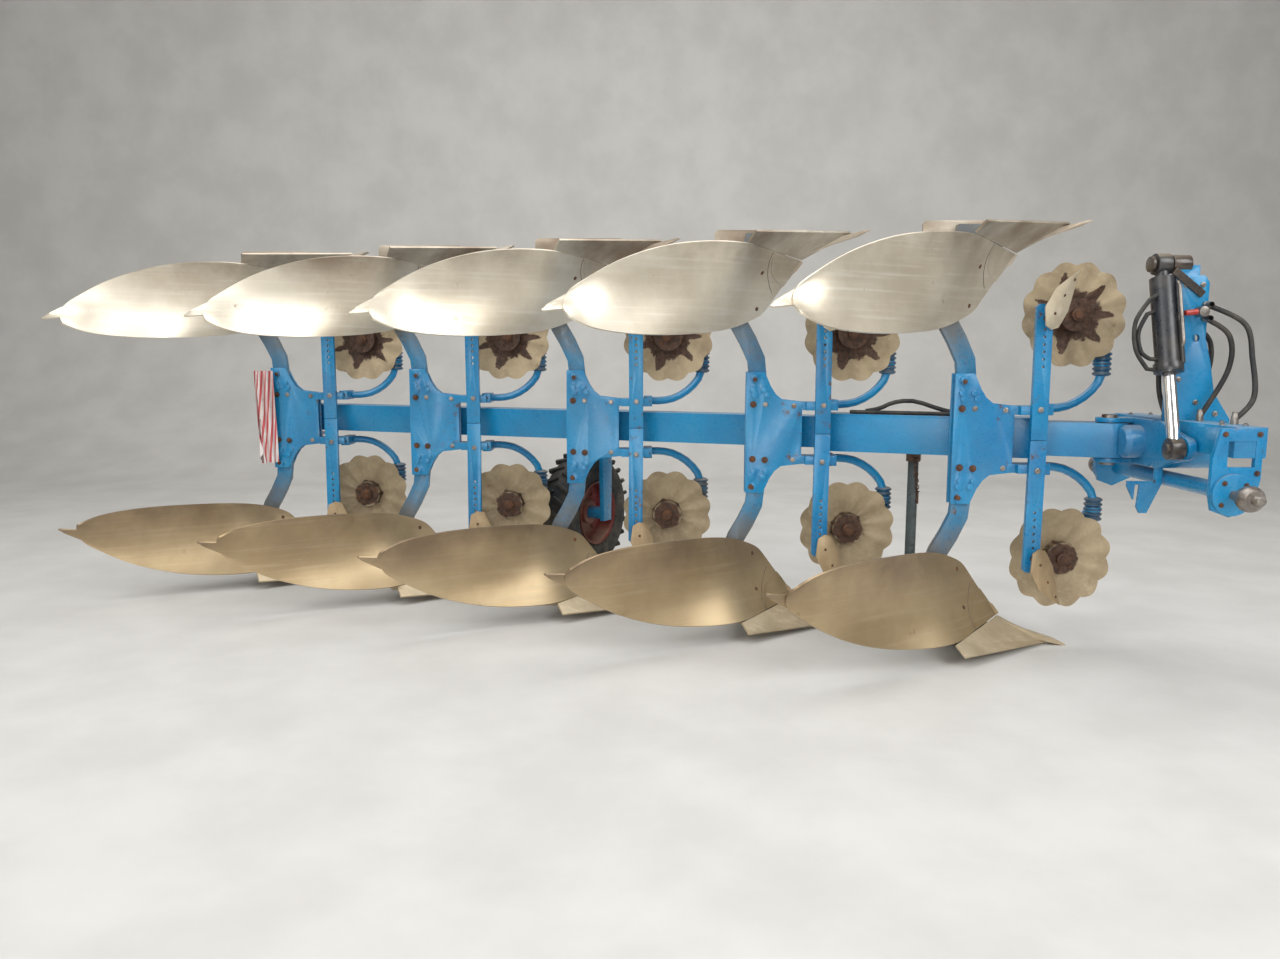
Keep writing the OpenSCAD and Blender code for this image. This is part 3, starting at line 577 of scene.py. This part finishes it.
def layHose(name, route, radius, body, node=None):
    guide = [draft(*(value / 1000 for value in point)) for point in route]
    points = [guide[0]] + throughPoints(guide[1:-1], hoseSteps) + [guide[-1]]
    hose = tubeAlong(points, radius)
    hose.name = name
    hose.data.materials.append(hoseRubber)
    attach(hose, body)
    if node:
        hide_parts(node)
    return [(points[0], points[1] - points[0]), (points[-1], points[-2] - points[-1])]


# where each hose of the mast ends and which way it leaves, for its fittings
hoseEnds = []
for number, route in enumerate(mastHoses["routes"], 1):
    hoseEnds += layHose(f"mastHose{number}", route, mastHoses["radius"], "headstock", "mast_hoses")
for number, route in enumerate(barrelHoses["routes"], 1):
    layHose(f"barrelHose{number}", route, barrelHoses["radius"], "barrel")
print("hoses laid")


# Rounded copies of the painted and steel nodes

rounding = {"width": 0.0022, "segments": 2, "angle": 32}
turningPins = {"nodes": ["bracket_pins", "swing_pin"], "ease": -0.00016}
roundedNodes = {"headstock": ["headstock", "linkage_pins", "top_link_pin"],
                "turn_head": ["turn_axle", "swing_pin"], "barrel": ["turn_barrel"], "rod": ["turn_rod"],
                "beam": ["beam", "stand_holder", "wheel_bracket", "bracket_pins"],
                "stand": ["stand_leg"], "wheel_arm": ["wheel_arm"], "wheel": ["wheel_rim"]}
for i in range(1, bodyCount + 1):
    roundedNodes[f"body_{i}"] = [f"bracket_{i}", f"legs_{i}", f"shares_{i}"]


def shortName(node):
    words = node.split("_")
    return words[0] + "".join(word.capitalize() for word in words[1:])


def stationPlace(place, i):
    # a point as forward, sideways and height of body i, the upper row folded down on the lower
    back = (i - 1) * layout["spacing"]
    x = place.x + layout["origin"][0] + back * yawCos
    y = place.y - layout["heel"] - back * yawSin
    z = place.z + layout["origin"][2]
    return x, y, min(z, 2 * layout["axis"] - z)


# the room that each part of another finish fills
otherRoom = {"skimmer": ((0.335, 0.53), 0.2592, (0.23, 0.512)), "headBack": -0.027, "headFoot": 0.272,
             "rodEye": ((0.790, -0.205, 1.010), 0.078), "roundPlate": 0.5012}


def onSkimmer(place, i):
    x, y, z = stationPlace(place, i)
    along, side, height = otherRoom["skimmer"]
    return along[0] < x < along[1] and y < side and height[0] < z < height[1]


def onCylinderHead(place, i):
    return place.x < otherRoom["headBack"] and place.z > otherRoom["headFoot"]


def onRodEye(place, i):
    centre, radius = otherRoom["rodEye"]
    return (place - draft(*centre)).length < radius


def onRoundPlate(place, i):
    return abs(place.y) < otherRoom["roundPlate"]


# what a node's copy holds in another finish: where, its name, its material and slot
otherFinish = {"bracket": (onSkimmer, "skimmers", bladeSteel, "disc_steel"),
               "headstock": (onCylinderHead, "cylinderHead", greasySteel, "dark_paint"),
               "turn_rod": (onRodEye, "rodEye", greasySteel, "dark_paint"),
               "linkage_pins": (onRoundPlate, "roundPlates", bluePaint, "frame_paint")}


kindLook = {"shares": shareSteel, "legs": legPaint}


def splitOff(piece, test, i):
    # the faces whose corners all pass the test, as a piece of their own; both are closed again
    pick(piece)
    bpy.ops.object.mode_set(mode="EDIT")
    bpy.ops.mesh.select_mode(type="FACE")
    bpy.ops.mesh.select_all(action="DESELECT")
    mesh = bmesh.from_edit_mesh(piece.data)
    for face in mesh.faces:
        face.select = all(test(vertex.co, i) for vertex in face.verts)
    bmesh.update_edit_mesh(piece.data)
    bpy.ops.mesh.separate(type="SELECTED")
    bpy.ops.object.mode_set(mode="OBJECT")
    other = next(part for part in bpy.context.selected_objects if part != piece)
    for part in (piece, other):
        pick(part)
        bpy.ops.object.mode_set(mode="EDIT")
        bpy.ops.mesh.select_mode(type="VERT")
        bpy.ops.mesh.select_all(action="SELECT")
        bpy.ops.mesh.fill_holes(sides=0)
        bpy.ops.mesh.select_all(action="SELECT")
        bpy.ops.mesh.normals_make_consistent(inside=False)
        bpy.ops.object.mode_set(mode="OBJECT")
        bpy.ops.object.shade_smooth_by_angle(angle=rad(rounding["angle"]))
    return other


def rounded(node, body):
    piece = copyOf(node)
    bpy.ops.object.mode_set(mode="EDIT")
    bpy.ops.mesh.select_all(action="SELECT")
    bpy.ops.mesh.dissolve_limited(angle_limit=rad(0.6))
    bpy.ops.object.mode_set(mode="OBJECT")
    if node in turningPins["nodes"]:
        # flats of the pins stay clear of the flats of their bores while they turn
        ease = piece.modifiers.new("ease", "DISPLACE")
        ease.mid_level = 0
        ease.strength = turningPins["ease"]
    soft = piece.modifiers.new("soft", "BEVEL")
    soft.width = rounding["width"]
    soft.segments = rounding["segments"]
    soft.limit_method = "ANGLE"
    soft.angle_limit = rad(rounding["angle"])
    soft.use_clamp_overlap = True
    applyAll(piece)
    bpy.ops.object.shade_smooth_by_angle(angle=rad(rounding["angle"]))
    # bracket_3 is the third of its kind, bracket_pins a kind of its own
    kind = node.rstrip("_12345")
    number = node[len(kind) + 1:]
    if kind in otherFinish:
        test, name, material, slotName = otherFinish[kind]
        other = splitOff(piece, test, int(number or 1))
        settle(other, name + number, material, body)
        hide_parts(node)
        pieces[name + number] = other
    look = kindLook.get(kind, slotLook[nodeSlot[node]])
    settle(piece, shortName(node) + "Body", look, body)
    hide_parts(node)
    return piece


pieces = {}
for body, nodes in roundedNodes.items():
    for node in nodes:
        pieces[node] = rounded(node, body)
print("rounded copies made")


# Mouldboards and discs, smoothed from the CAD's own faces

smoothing = {"crease": 42, "levels": 2, "shade": 38}


def smoothed(node, body):
    piece = copyOf(node)
    bpy.ops.object.mode_set(mode="EDIT")
    bpy.ops.mesh.select_all(action="SELECT")
    bpy.ops.mesh.tris_convert_to_quads(face_threshold=rad(smoothing["shade"]), shape_threshold=rad(60))
    mesh = bmesh.from_edit_mesh(piece.data)
    layer = mesh.edges.layers.float.get("crease_edge") or mesh.edges.layers.float.new("crease_edge")
    for edge in mesh.edges:
        if edge.is_manifold and edge.calc_face_angle(0) > rad(smoothing["crease"]):
            edge[layer] = 1.0
    bmesh.update_edit_mesh(piece.data)
    bpy.ops.object.mode_set(mode="OBJECT")
    smooth = piece.modifiers.new("smooth", "SUBSURF")
    smooth.levels = smooth.render_levels = smoothing["levels"]
    applyAll(piece)
    bpy.ops.object.shade_smooth_by_angle(angle=rad(smoothing["shade"]))
    settle(piece, shortName(node) + "Smooth", slotLook[nodeSlot[node]], body)
    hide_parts(node)
    return piece


hub = {"bore": 0.0158, "ease": 0.00015, "rays": 7}


def readyHub(piece, centre, radius):
    # the bore is eased off the spindle, then each point notes its distance and ray for the rust
    for vertex in piece.data.vertices:
        out = Vector((vertex.co.x - centre.x, 0, vertex.co.z - centre.z))
        if out.length < hub["bore"]:
            vertex.co += out.normalized() * hub["ease"]
    radial, ray = [], []
    for vertex in piece.data.vertices:
        out = vertex.co - centre
        turn = math.atan2(out.z, out.x)
        radial.append(out.length / radius)
        ray.append(max(0, math.cos(hub["rays"] * turn + math.sin(2 * turn))) ** 2)
    for name, values in (("radial", radial), ("ray", ray)):
        layer = piece.data.attributes.new(name, "FLOAT", "POINT")
        layer.data.foreach_set("value", values)


disc = {"plane": 0.398, "radius": 0.25,
        "places": [(0.568, 0.428), (0.543, 0.507), (0.552, 0.518), (0.562, 0.518), (0.556, 0.530)]}


def discPlace(i, y, upper):
    x, z = disc["places"][i - 1]
    return spot(i, x, y, z, upper)


for i in range(1, bodyCount + 1):
    pieces[f"mouldboards_{i}"] = smoothed(f"mouldboards_{i}", f"body_{i}")
    for row in ("lower", "upper"):
        blade = smoothed(f"disc_{row}_{i}", f"disc_{row}_{i}")
        readyHub(blade, discPlace(i, disc["plane"], row == "upper"), disc["radius"])
        blade.data.materials[0] = rustyUpper if row == "upper" else rustyLower
        pieces[f"disc_{row}_{i}"] = blade
print("boards and discs smoothed")


# Bolts: hexagons on washers, and low round heads on the wearing steel

def boltMaster(kind):
    if kind == "dome":
        bpy.ops.mesh.primitive_uv_sphere_add(segments=18, ring_count=10, radius=1)
        head = bpy.context.object
        head.scale = (1, 1, 0.3)
        bpy.ops.object.transform_apply(scale=True)
    else:
        bpy.ops.mesh.primitive_cylinder_add(vertices=6, radius=1, depth=0.75, location=(0, 0, 0.55))
        head = bpy.context.object
        soft = head.modifiers.new("soft", "BEVEL")
        soft.width = 0.08
        soft.segments = 2
        applyAll(head)
        bpy.ops.mesh.primitive_cylinder_add(vertices=20, radius=1.32, depth=0.24, location=(0, 0, 0.08))
        washer = bpy.context.object
        bpy.ops.mesh.primitive_cylinder_add(vertices=14, radius=0.52, depth=0.5, location=(0, 0, 1.1))
        head = joined([head, washer, bpy.context.object])
    bpy.ops.object.shade_smooth_by_angle(angle=rad(30))
    head.name = "master" + kind
    return head


boltLists = {}


def addBolt(body, place, direction, radius, look="rust", kind="hex"):
    boltLists.setdefault((body, look, kind), []).append((Vector(place), Vector(direction), radius))


def castFrom(tree, place, direction):
    found = tree.ray_cast(Vector(place), Vector(direction), 3)
    return found[:2] if found[0] is not None else None


def treeOf(piece):
    return BVHTree.FromObject(piece, bpy.context.evaluated_depsgraph_get())


def ring(count, first, radius):
    # points round a circle, as two offsets
    turns = [rad(360 / count * k + first) for k in range(count)]
    return [(radius * math.cos(turn), radius * math.sin(turn)) for turn in turns]


# places as x and z in a body's own millimetres
bodyBolts = {"plate": [(42, 1280), (36, 1154), (36, 876), (99, 872), (34, 732)], "plateFace": 0.313,
             "arm": [(98, 1154), (242, 873), (242, 1147)], "armFace": 0.325,
             "board": [(58, 222), (43, 392), (-30, 470)], "skimmer": [(478, 280), (436, 350), (400, 430)],
             "stalk": (0.380, 0.262), "stalkHeights": (0.418, 0.452), "clampHeight": 0.868,
             "carrier": (0.443, 0.322), "hubFace": -0.031, "hubRing": 0.054}
near = (0, -1, 0)  # the way that bolts of the near side point


def boltsOfBody(i):
    body = f"body_{i}"
    for x, z in bodyBolts["plate"]:
        addBolt(body, spot(i, x / 1000, bodyBolts["plateFace"], z / 1000), near, 0.0125)
    for x, z in bodyBolts["arm"]:
        addBolt(body, spot(i, x / 1000, bodyBolts["armFace"], z / 1000), near, 0.014, "bare")
    laidOn = [("board", treeOf(pieces[f"mouldboards_{i}"]), 0.0105),
              ("skimmer", treeOf(pieces[f"skimmers{i}"]), 0.007)]
    for upper in (False, True):
        for kind, tree, radius in laidOn:
            for x, z in bodyBolts[kind]:
                found = castFrom(tree, spot(i, x / 1000, -0.8, z / 1000, upper), (0, 1, 0))
                if found:
                    addBolt(body, found[0], found[1] if found[1].y < 0 else -found[1], radius, "rust", "dome")
        for z in bodyBolts["stalkHeights"]:
            addBolt(body, spot(i, *bodyBolts["stalk"], z, upper), near, 0.012)
        addBolt(body, spot(i, *bodyBolts["stalk"], bodyBolts["clampHeight"], upper), near, 0.015, "bare")
        addBolt(body, spot(i, *bodyBolts["carrier"], bodyBolts["clampHeight"], upper), near, 0.013)
        for x, z in ring(6, 17 * i, bodyBolts["hubRing"]):
            place = discPlace(i, disc["plane"] + bodyBolts["hubFace"], upper) + Vector((x, 0, z))
            addBolt(f"disc_{'upper' if upper else 'lower'}_{i}", place, near, 0.0085)


for i in range(1, bodyCount + 1):
    boltsOfBody(i)

headBolts = {"mast": [(0.872, 1.30), (0.955, 1.20), (1.045, 1.15), (0.876, 1.705), (0.950, 1.705),
                      (0.870, 1.42)],
             "side": [(0.832, 1.095), (0.968, 1.095), (0.968, 0.940)],
             "box": [(0.89, -0.36), (0.985, -0.36), (0.89, 0.36), (0.985, 0.36), (0.985, -0.2), (0.985, 0.2)],
             "mastFace": -0.049, "sideFace": -0.4815, "boxTop": 1.122,
             "pin": (0.872, -0.5005, 0.855), "pinRing": 0.062,
             "bearing": (1.068, 0, 1.01), "bearingRing": 0.092}
for x, z in headBolts["mast"]:
    addBolt("headstock", draft(x, headBolts["mastFace"], z), near, 0.013, "bare")
for x, z in ring(4, 40, headBolts["pinRing"]):
    addBolt("headstock", draft(*headBolts["pin"]) + Vector((x, 0, z)), near, 0.011)
for x, z in headBolts["side"]:
    addBolt("headstock", draft(x, headBolts["sideFace"], z), near, 0.012)
for y, z in ring(8, 20, headBolts["bearingRing"]):
    addBolt("headstock", draft(*headBolts["bearing"]) + Vector((0, y, z)), (1, 0, 0), 0.008)
for x, y in headBolts["box"]:
    addBolt("headstock", draft(x, y, headBolts["boxTop"]), (0, 0, 1), 0.012, "bare")
boltLooks = {"rust": (boltRust, "bare_steel"), "bare": (bareSteel, "bare_steel")}
masters = {"hex": boltMaster("hex"), "dome": boltMaster("dome")}


def standing(place, direction):
    # a place whose own Z points in a direction
    return Matrix.Translation(place) @ Vector(direction).to_track_quat("Z", "Y").to_matrix().to_4x4()


def makeBolts():
    for (body, look, kind), items in boltLists.items():
        copies = []
        for place, direction, radius in items:
            one = bpy.data.objects.new("bolt", masters[kind].data.copy())
            bpy.context.scene.collection.objects.link(one)
            spin = Matrix.Rotation(place.x * 37 % 1, 4, "Z")
            one.matrix_world = standing(place, direction) @ spin @ Matrix.Scale(radius, 4)
            copies.append(one)
        piece = joined(copies)
        material, slotName = boltLooks[look]
        settle(piece, f"{look}{kind.capitalize()}Bolts_{body}", material, body)


makeBolts()
for master in masters.values():
    bpy.data.objects.remove(master)
print("bolts set")


# Turned pieces: a profile of radius and height, spun round its axis

def turned(profile, place, direction, steps=28):
    mesh = bpy.data.meshes.new("profile")
    mesh.from_pydata([(radius, 0, height) for radius, height in profile],
                     [(k, k + 1) for k in range(len(profile) - 1)], [])
    piece = bpy.data.objects.new("turned", mesh)
    bpy.context.scene.collection.objects.link(piece)
    pick(piece)
    bpy.ops.object.mode_set(mode="EDIT")
    bpy.ops.mesh.select_all(action="SELECT")
    bpy.ops.mesh.spin(steps=steps, angle=rad(360), center=(0, 0, 0), axis=(0, 0, 1))
    bpy.ops.mesh.select_all(action="SELECT")
    bpy.ops.mesh.remove_doubles(threshold=0.00001)
    bpy.ops.mesh.normals_make_consistent(inside=False)
    bpy.ops.object.mode_set(mode="OBJECT")
    bpy.ops.object.shade_smooth_by_angle(angle=rad(40))
    piece.matrix_world = standing(place, direction)
    return piece


sleeve = {"low": -0.058, "high": 0.060, "inner": 0.034, "outer": 0.0425, "ribs": 5, "drop": 0.352,
          "forward": 0.742, "off": 0.056}


def ribbed():
    # a sleeve with round ribs, closed at both ends
    low, high, inner, outer = (sleeve[key] for key in ("low", "high", "inner", "outer"))
    profile = [(0, low), (inner * 0.8, low)]
    step = (high - low) / sleeve["ribs"]
    for k in range(sleeve["ribs"]):
        base = low + k * step
        profile += [(inner, base + 0.12 * step), (outer, base + 0.38 * step), (outer, base + 0.62 * step),
                    (inner, base + 0.88 * step)]
    return profile + [(inner * 0.8, high), (0, high)]


for i in range(1, bodyCount + 1):
    knobs = []
    for upper in (False, True):
        place = spot(i, sleeve["forward"], disc["plane"] + sleeve["off"], layout["axis"] - sleeve["drop"],
                     upper)
        knobs.append(turned(ribbed(), place, (0, 0, 1)))
    settle(joined(knobs), f"coulterKnobs{i}", clampBlue, f"body_{i}")

# caps on the spindle ends of the coulters, just off the hubs
cap = {"face": 0.3665, "profile": [(0, 0), (0.0310, 0), (0.0310, 0.0195), (0.0285, 0.0220), (0.0200, 0.0235),
                                   (0.0190, 0.0290), (0, 0.0300)]}
for i in range(1, bodyCount + 1):
    caps = [turned(cap["profile"], discPlace(i, cap["face"], upper), near, 20) for upper in (False, True)]
    settle(joined(caps), f"spindleCaps{i}", boltRust, f"body_{i}")

# the open seam between each board and its shin piece, a dark line laid on the board's face
seam = {"route": [(0.120, 0.312), (0.103, 0.275), (0.089, 0.228), (0.088, 0.180), (0.099, 0.140),
                  (0.120, 0.106)], "radius": 0.0013, "steps": 30}
for i in range(1, bodyCount + 1):
    tree = treeOf(pieces[f"mouldboards_{i}"])
    lines = []
    for upper in (False, True):
        route = throughPoints([spot(i, x, -0.8, z, upper) for x, z in seam["route"]], seam["steps"])
        hits = [castFrom(tree, place, (0, 1, 0)) for place in route]
        line = tubeAlong([hit[0] for hit in hits if hit], seam["radius"])
        pick(line)
        bpy.ops.object.convert(target="MESH")
        lines.append(bpy.context.object)
    settle(joined(lines), f"shinSeams{i}", greasySteel, f"body_{i}")

# lower link balls, hose fittings, the red handle and the pipe of the cylinder
ball = {"radius": 0.052, "half": 0.036, "bore": 0.0190, "out": 0.600, "steps": 12}


def ballProfile():
    points = [(ball["bore"], -ball["half"])]
    for k in range(ball["steps"] + 1):
        height = -ball["half"] + 2 * ball["half"] * k / ball["steps"]
        points.append((math.sqrt(ball["radius"] ** 2 - height ** 2), height))
    return points + [(ball["bore"], ball["half"]), (ball["bore"], -ball["half"])]


balls = [turned(ballProfile(), draft(0.872, side * ball["out"], 0.855), (0, side, 0), 40) for side in (-1, 1)]
settle(joined(balls), "linkBalls", bareSteel, "headstock")
fitting = [(0, 0), (0.0155, 0), (0.0155, 0.016), (0.0135, 0.018), (0.0135, 0.034), (0.0112, 0.037),
           (0.0112, 0.05)]
fittings = [turned(fitting, place, along, 18) for place, along in hoseEnds]
settle(joined(fittings), "hoseFittings", bareSteel, "headstock")
grip = [(0, 0), (0.009, 0.001), (0.0125, 0.005), (0.0125, 0.055), (0.009, 0.059), (0, 0.060)]
handle = turned(grip, draft(0.917, -0.086, 1.590), (-1, 0, -0.12), 20)
settle(handle, "redHandle", redPlastic, "headstock")

cylinder = {"x": 0.790, "top": 1.795, "lean": math.atan(0.205 / 0.785), "pipe": 0.0075}


def barrelSpot(x, y, down):
    # a point beside the barrel: sideways and down along the leaning cylinder from its upper pin
    c, s = math.cos(cylinder["lean"]), math.sin(cylinder["lean"])
    return draft(cylinder["x"] + x, y * c - down * s, cylinder["top"] - y * s - down * c)


sidePipe = [(-0.0500, 0.095), (-0.0615, 0.110), (-0.0625, 0.135), (-0.0625, 0.335), (-0.0615, 0.360),
            (-0.0480, 0.375)]
pipe = tubeAlong(throughPoints([barrelSpot(0.037, y, down) for y, down in sidePipe], 30), cylinder["pipe"])
pick(pipe)
bpy.ops.object.convert(target="MESH")
bpy.ops.object.shade_smooth_by_angle(angle=rad(40))
settle(bpy.context.object, "cylinderPipe", bareSteel, "barrel")

# flat lever from the cylinder's head down to the mast
bpy.ops.mesh.primitive_cube_add(size=1)
lever = bpy.context.object
lever.scale = (0.165, 0.014, 0.034)
bpy.ops.object.transform_apply(scale=True)
soft = lever.modifiers.new("soft", "BEVEL")
soft.width = 0.004
soft.segments = 2
applyAll(lever)
lever.rotation_euler = (0, rad(38), 0)
lever.location = draft(0.884, -0.0565, 1.713)
settle(lever, "headLever", greasySteel, "headstock")

# short chain with its pin, hanging from an eye on the stand's holder, clear of the sliding leg
chain = {"links": 10, "pitch": 0.0165, "ring": 0.0085, "wire": 0.0022, "eye": 0.011, "eyeWire": 0.0032,
         "along": -0.876, "side": 0.0803, "down": -0.130, "off": 0.012}


def addChain():
    # the near face of the holder below the beam, just off its middle
    out = Vector((-yawSin, -yawCos, 0))
    start = beamSpot(chain["along"], chain["side"], chain["down"]) + out * 0.002
    turn = out.to_track_quat("Z", "Y").to_matrix().to_4x4()
    bpy.ops.mesh.primitive_torus_add(major_radius=chain["eye"], minor_radius=chain["eyeWire"],
                                     major_segments=20, minor_segments=8)
    eye = bpy.context.object
    eye.matrix_world = Matrix.Translation(start + out * 0.006) @ turn @ Matrix.Rotation(rad(90), 4, "X")
    parts = [eye]
    for k in range(chain["links"]):
        bpy.ops.mesh.primitive_torus_add(major_radius=chain["ring"], minor_radius=chain["wire"],
                                         major_segments=18, minor_segments=8)
        link = bpy.context.object
        link.scale = (1, 1.4, 1)
        bpy.ops.object.transform_apply(scale=True)
        place = start + out * chain["off"] + chain["pitch"] * Vector((0.10 * k, 0, -k - 1.1))
        link.matrix_world = Matrix.Translation(place) @ turn @ Matrix.Rotation(rad(90 * (k % 2)), 4, "Y")
        parts.append(link)
    pin = [(0, 0), (0.0060, 0.002), (0.0060, 0.060), (0.0100, 0.062), (0.0100, 0.068), (0, 0.070)]
    foot = chain["pitch"] * Vector((0.10 * chain["links"], 0, -chain["links"] - 4.4))
    parts.append(turned(pin, start + out * chain["off"] + foot, (0, 0, 1), 16))
    settle(joined(parts), "standChain", boltRust, "beam")


addChain()
print("turned pieces made")


# Depth wheel: smooth carcass with slanted lugs

wheel = {"x": -1.834, "y": 1.900, "radius": 0.390, "yaw": 60, "shrink": 0.962, "lugs": 26,
         "lug": (0.105, 0.024, 0.030), "sunk": 0.0165, "side": 0.052, "slant": 28}


def addTyre():
    centre = draft(wheel["x"], wheel["y"], wheel["radius"])
    carcass = copyOf("wheel_tyre")
    bpy.ops.object.mode_set(mode="EDIT")
    bpy.ops.mesh.select_all(action="SELECT")
    bpy.ops.transform.resize(value=(wheel["shrink"],) * 3, center_override=centre)
    bpy.ops.object.mode_set(mode="OBJECT")
    bpy.ops.object.shade_smooth_by_angle(angle=rad(30))
    axle = Vector((-math.sin(rad(wheel["yaw"])), math.cos(rad(wheel["yaw"])), 0))
    across = Vector((math.cos(rad(wheel["yaw"])), math.sin(rad(wheel["yaw"])), 0))
    lugs = []
    for k in range(wheel["lugs"]):
        for side in (-1, 1):
            angle = rad(360 / wheel["lugs"] * (k + 0.25 * side))
            out = across * math.cos(angle) + Vector((0, 0, math.sin(angle)))
            bpy.ops.mesh.primitive_cube_add(size=1)
            lug = bpy.context.object
            lug.scale = wheel["lug"]
            bpy.ops.object.transform_apply(scale=True)
            soft = lug.modifiers.new("soft", "BEVEL")
            soft.width = 0.004
            soft.segments = 1
            applyAll(lug)
            turn = Matrix((axle, out.cross(axle), out)).transposed().to_4x4()
            place = centre + out * (wheel["radius"] - wheel["sunk"]) + axle * side * wheel["side"]
            slant = Matrix.Rotation(rad(wheel["slant"] * side), 4, "Z")
            lug.matrix_world = Matrix.Translation(place) @ turn @ slant
            lugs.append(lug)
    piece = joined([carcass] + lugs)
    settle(piece, "treadedTyre", tyreRubber, "wheel")
    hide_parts("wheel_tyre")


addTyre()
print("tyre made")


# Rear cloth: gathered at its top, then let fall

cloth = {"flat": (0.25, 0.56), "top": 1.300, "x": -0.022, "y": 0.304, "across": (0.115, 0.175), "waves": 2.5,
         "columns": 48, "rows": 50, "frames": 22, "lean": 0.045, "corner": 0.075, "cornerDown": 0.84,
         "gap": 0.012, "held": 0.006, "wall": 0.322}


def foldDepth(width, flat, waves):
    # how deep the folds are that take up the flat width, found by halving
    low, high = 0.0, 0.2
    for step in range(30):
        depth = (low + high) / 2
        points = [Vector((width * k / 120, depth * math.sin(math.tau * waves * k / 120))) for k in range(121)]
        if sum((b - a).length for a, b in zip(points, points[1:])) > flat:
            high = depth
        else:
            low = depth
    return (low + high) / 2


def addCloth():
    bpy.ops.mesh.primitive_grid_add(x_subdivisions=cloth["columns"], y_subdivisions=cloth["rows"], size=1)
    piece = bpy.context.object
    flatWidth, flatLength = cloth["flat"]
    for vertex in piece.data.vertices:
        s, t = vertex.co.x + 0.5, 0.5 - vertex.co.y
        width = cloth["across"][0] + (cloth["across"][1] - cloth["across"][0]) * t ** 0.7
        depth = foldDepth(width, flatWidth, cloth["waves"])
        corner = (1 - s) ** 3 * math.exp(-((t - cloth["cornerDown"]) / 0.12) ** 2)
        lean = cloth["lean"] * t + cloth["corner"] * corner
        fold = depth * math.sin(math.tau * cloth["waves"] * s) * (1 - 0.15 * t)
        vertex.co = spot(bodyCount, cloth["x"] + width * (s - 0.5) - lean,
                         cloth["y"] - depth - cloth["gap"] + fold, cloth["top"] - flatLength * t)
    group = piece.vertex_groups.new(name="held")
    edge = draft(0, 0, cloth["top"] - cloth["held"]).z
    group.add([vertex.index for vertex in piece.data.vertices if vertex.co.z > edge], 1, "REPLACE")
    fall = piece.modifiers.new("fall", "CLOTH")
    fall.settings.quality = 6
    fall.settings.mass = 0.25
    fall.settings.bending_stiffness = 0.6
    fall.settings.tension_stiffness = 40
    fall.settings.compression_stiffness = 40
    fall.settings.vertex_group_mass = "held"
    fall.collision_settings.use_self_collision = False
    for number in range(1, cloth["frames"] + 1):
        bpy.context.scene.frame_set(number)
    applyAll(piece)
    bpy.context.scene.frame_set(1)
    wall = spot(bodyCount, 0, cloth["wall"], 0).y
    for vertex in piece.data.vertices:
        vertex.co.y = min(vertex.co.y, wall)
    soft = piece.modifiers.new("soft", "SUBSURF")
    soft.levels = soft.render_levels = 1
    applyAll(piece)
    bpy.ops.object.shade_smooth()
    settle(piece, "rearCloth", stripedCloth, f"body_{bodyCount}")
    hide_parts("warning_cloth")


addCloth()
print("cloth hung")
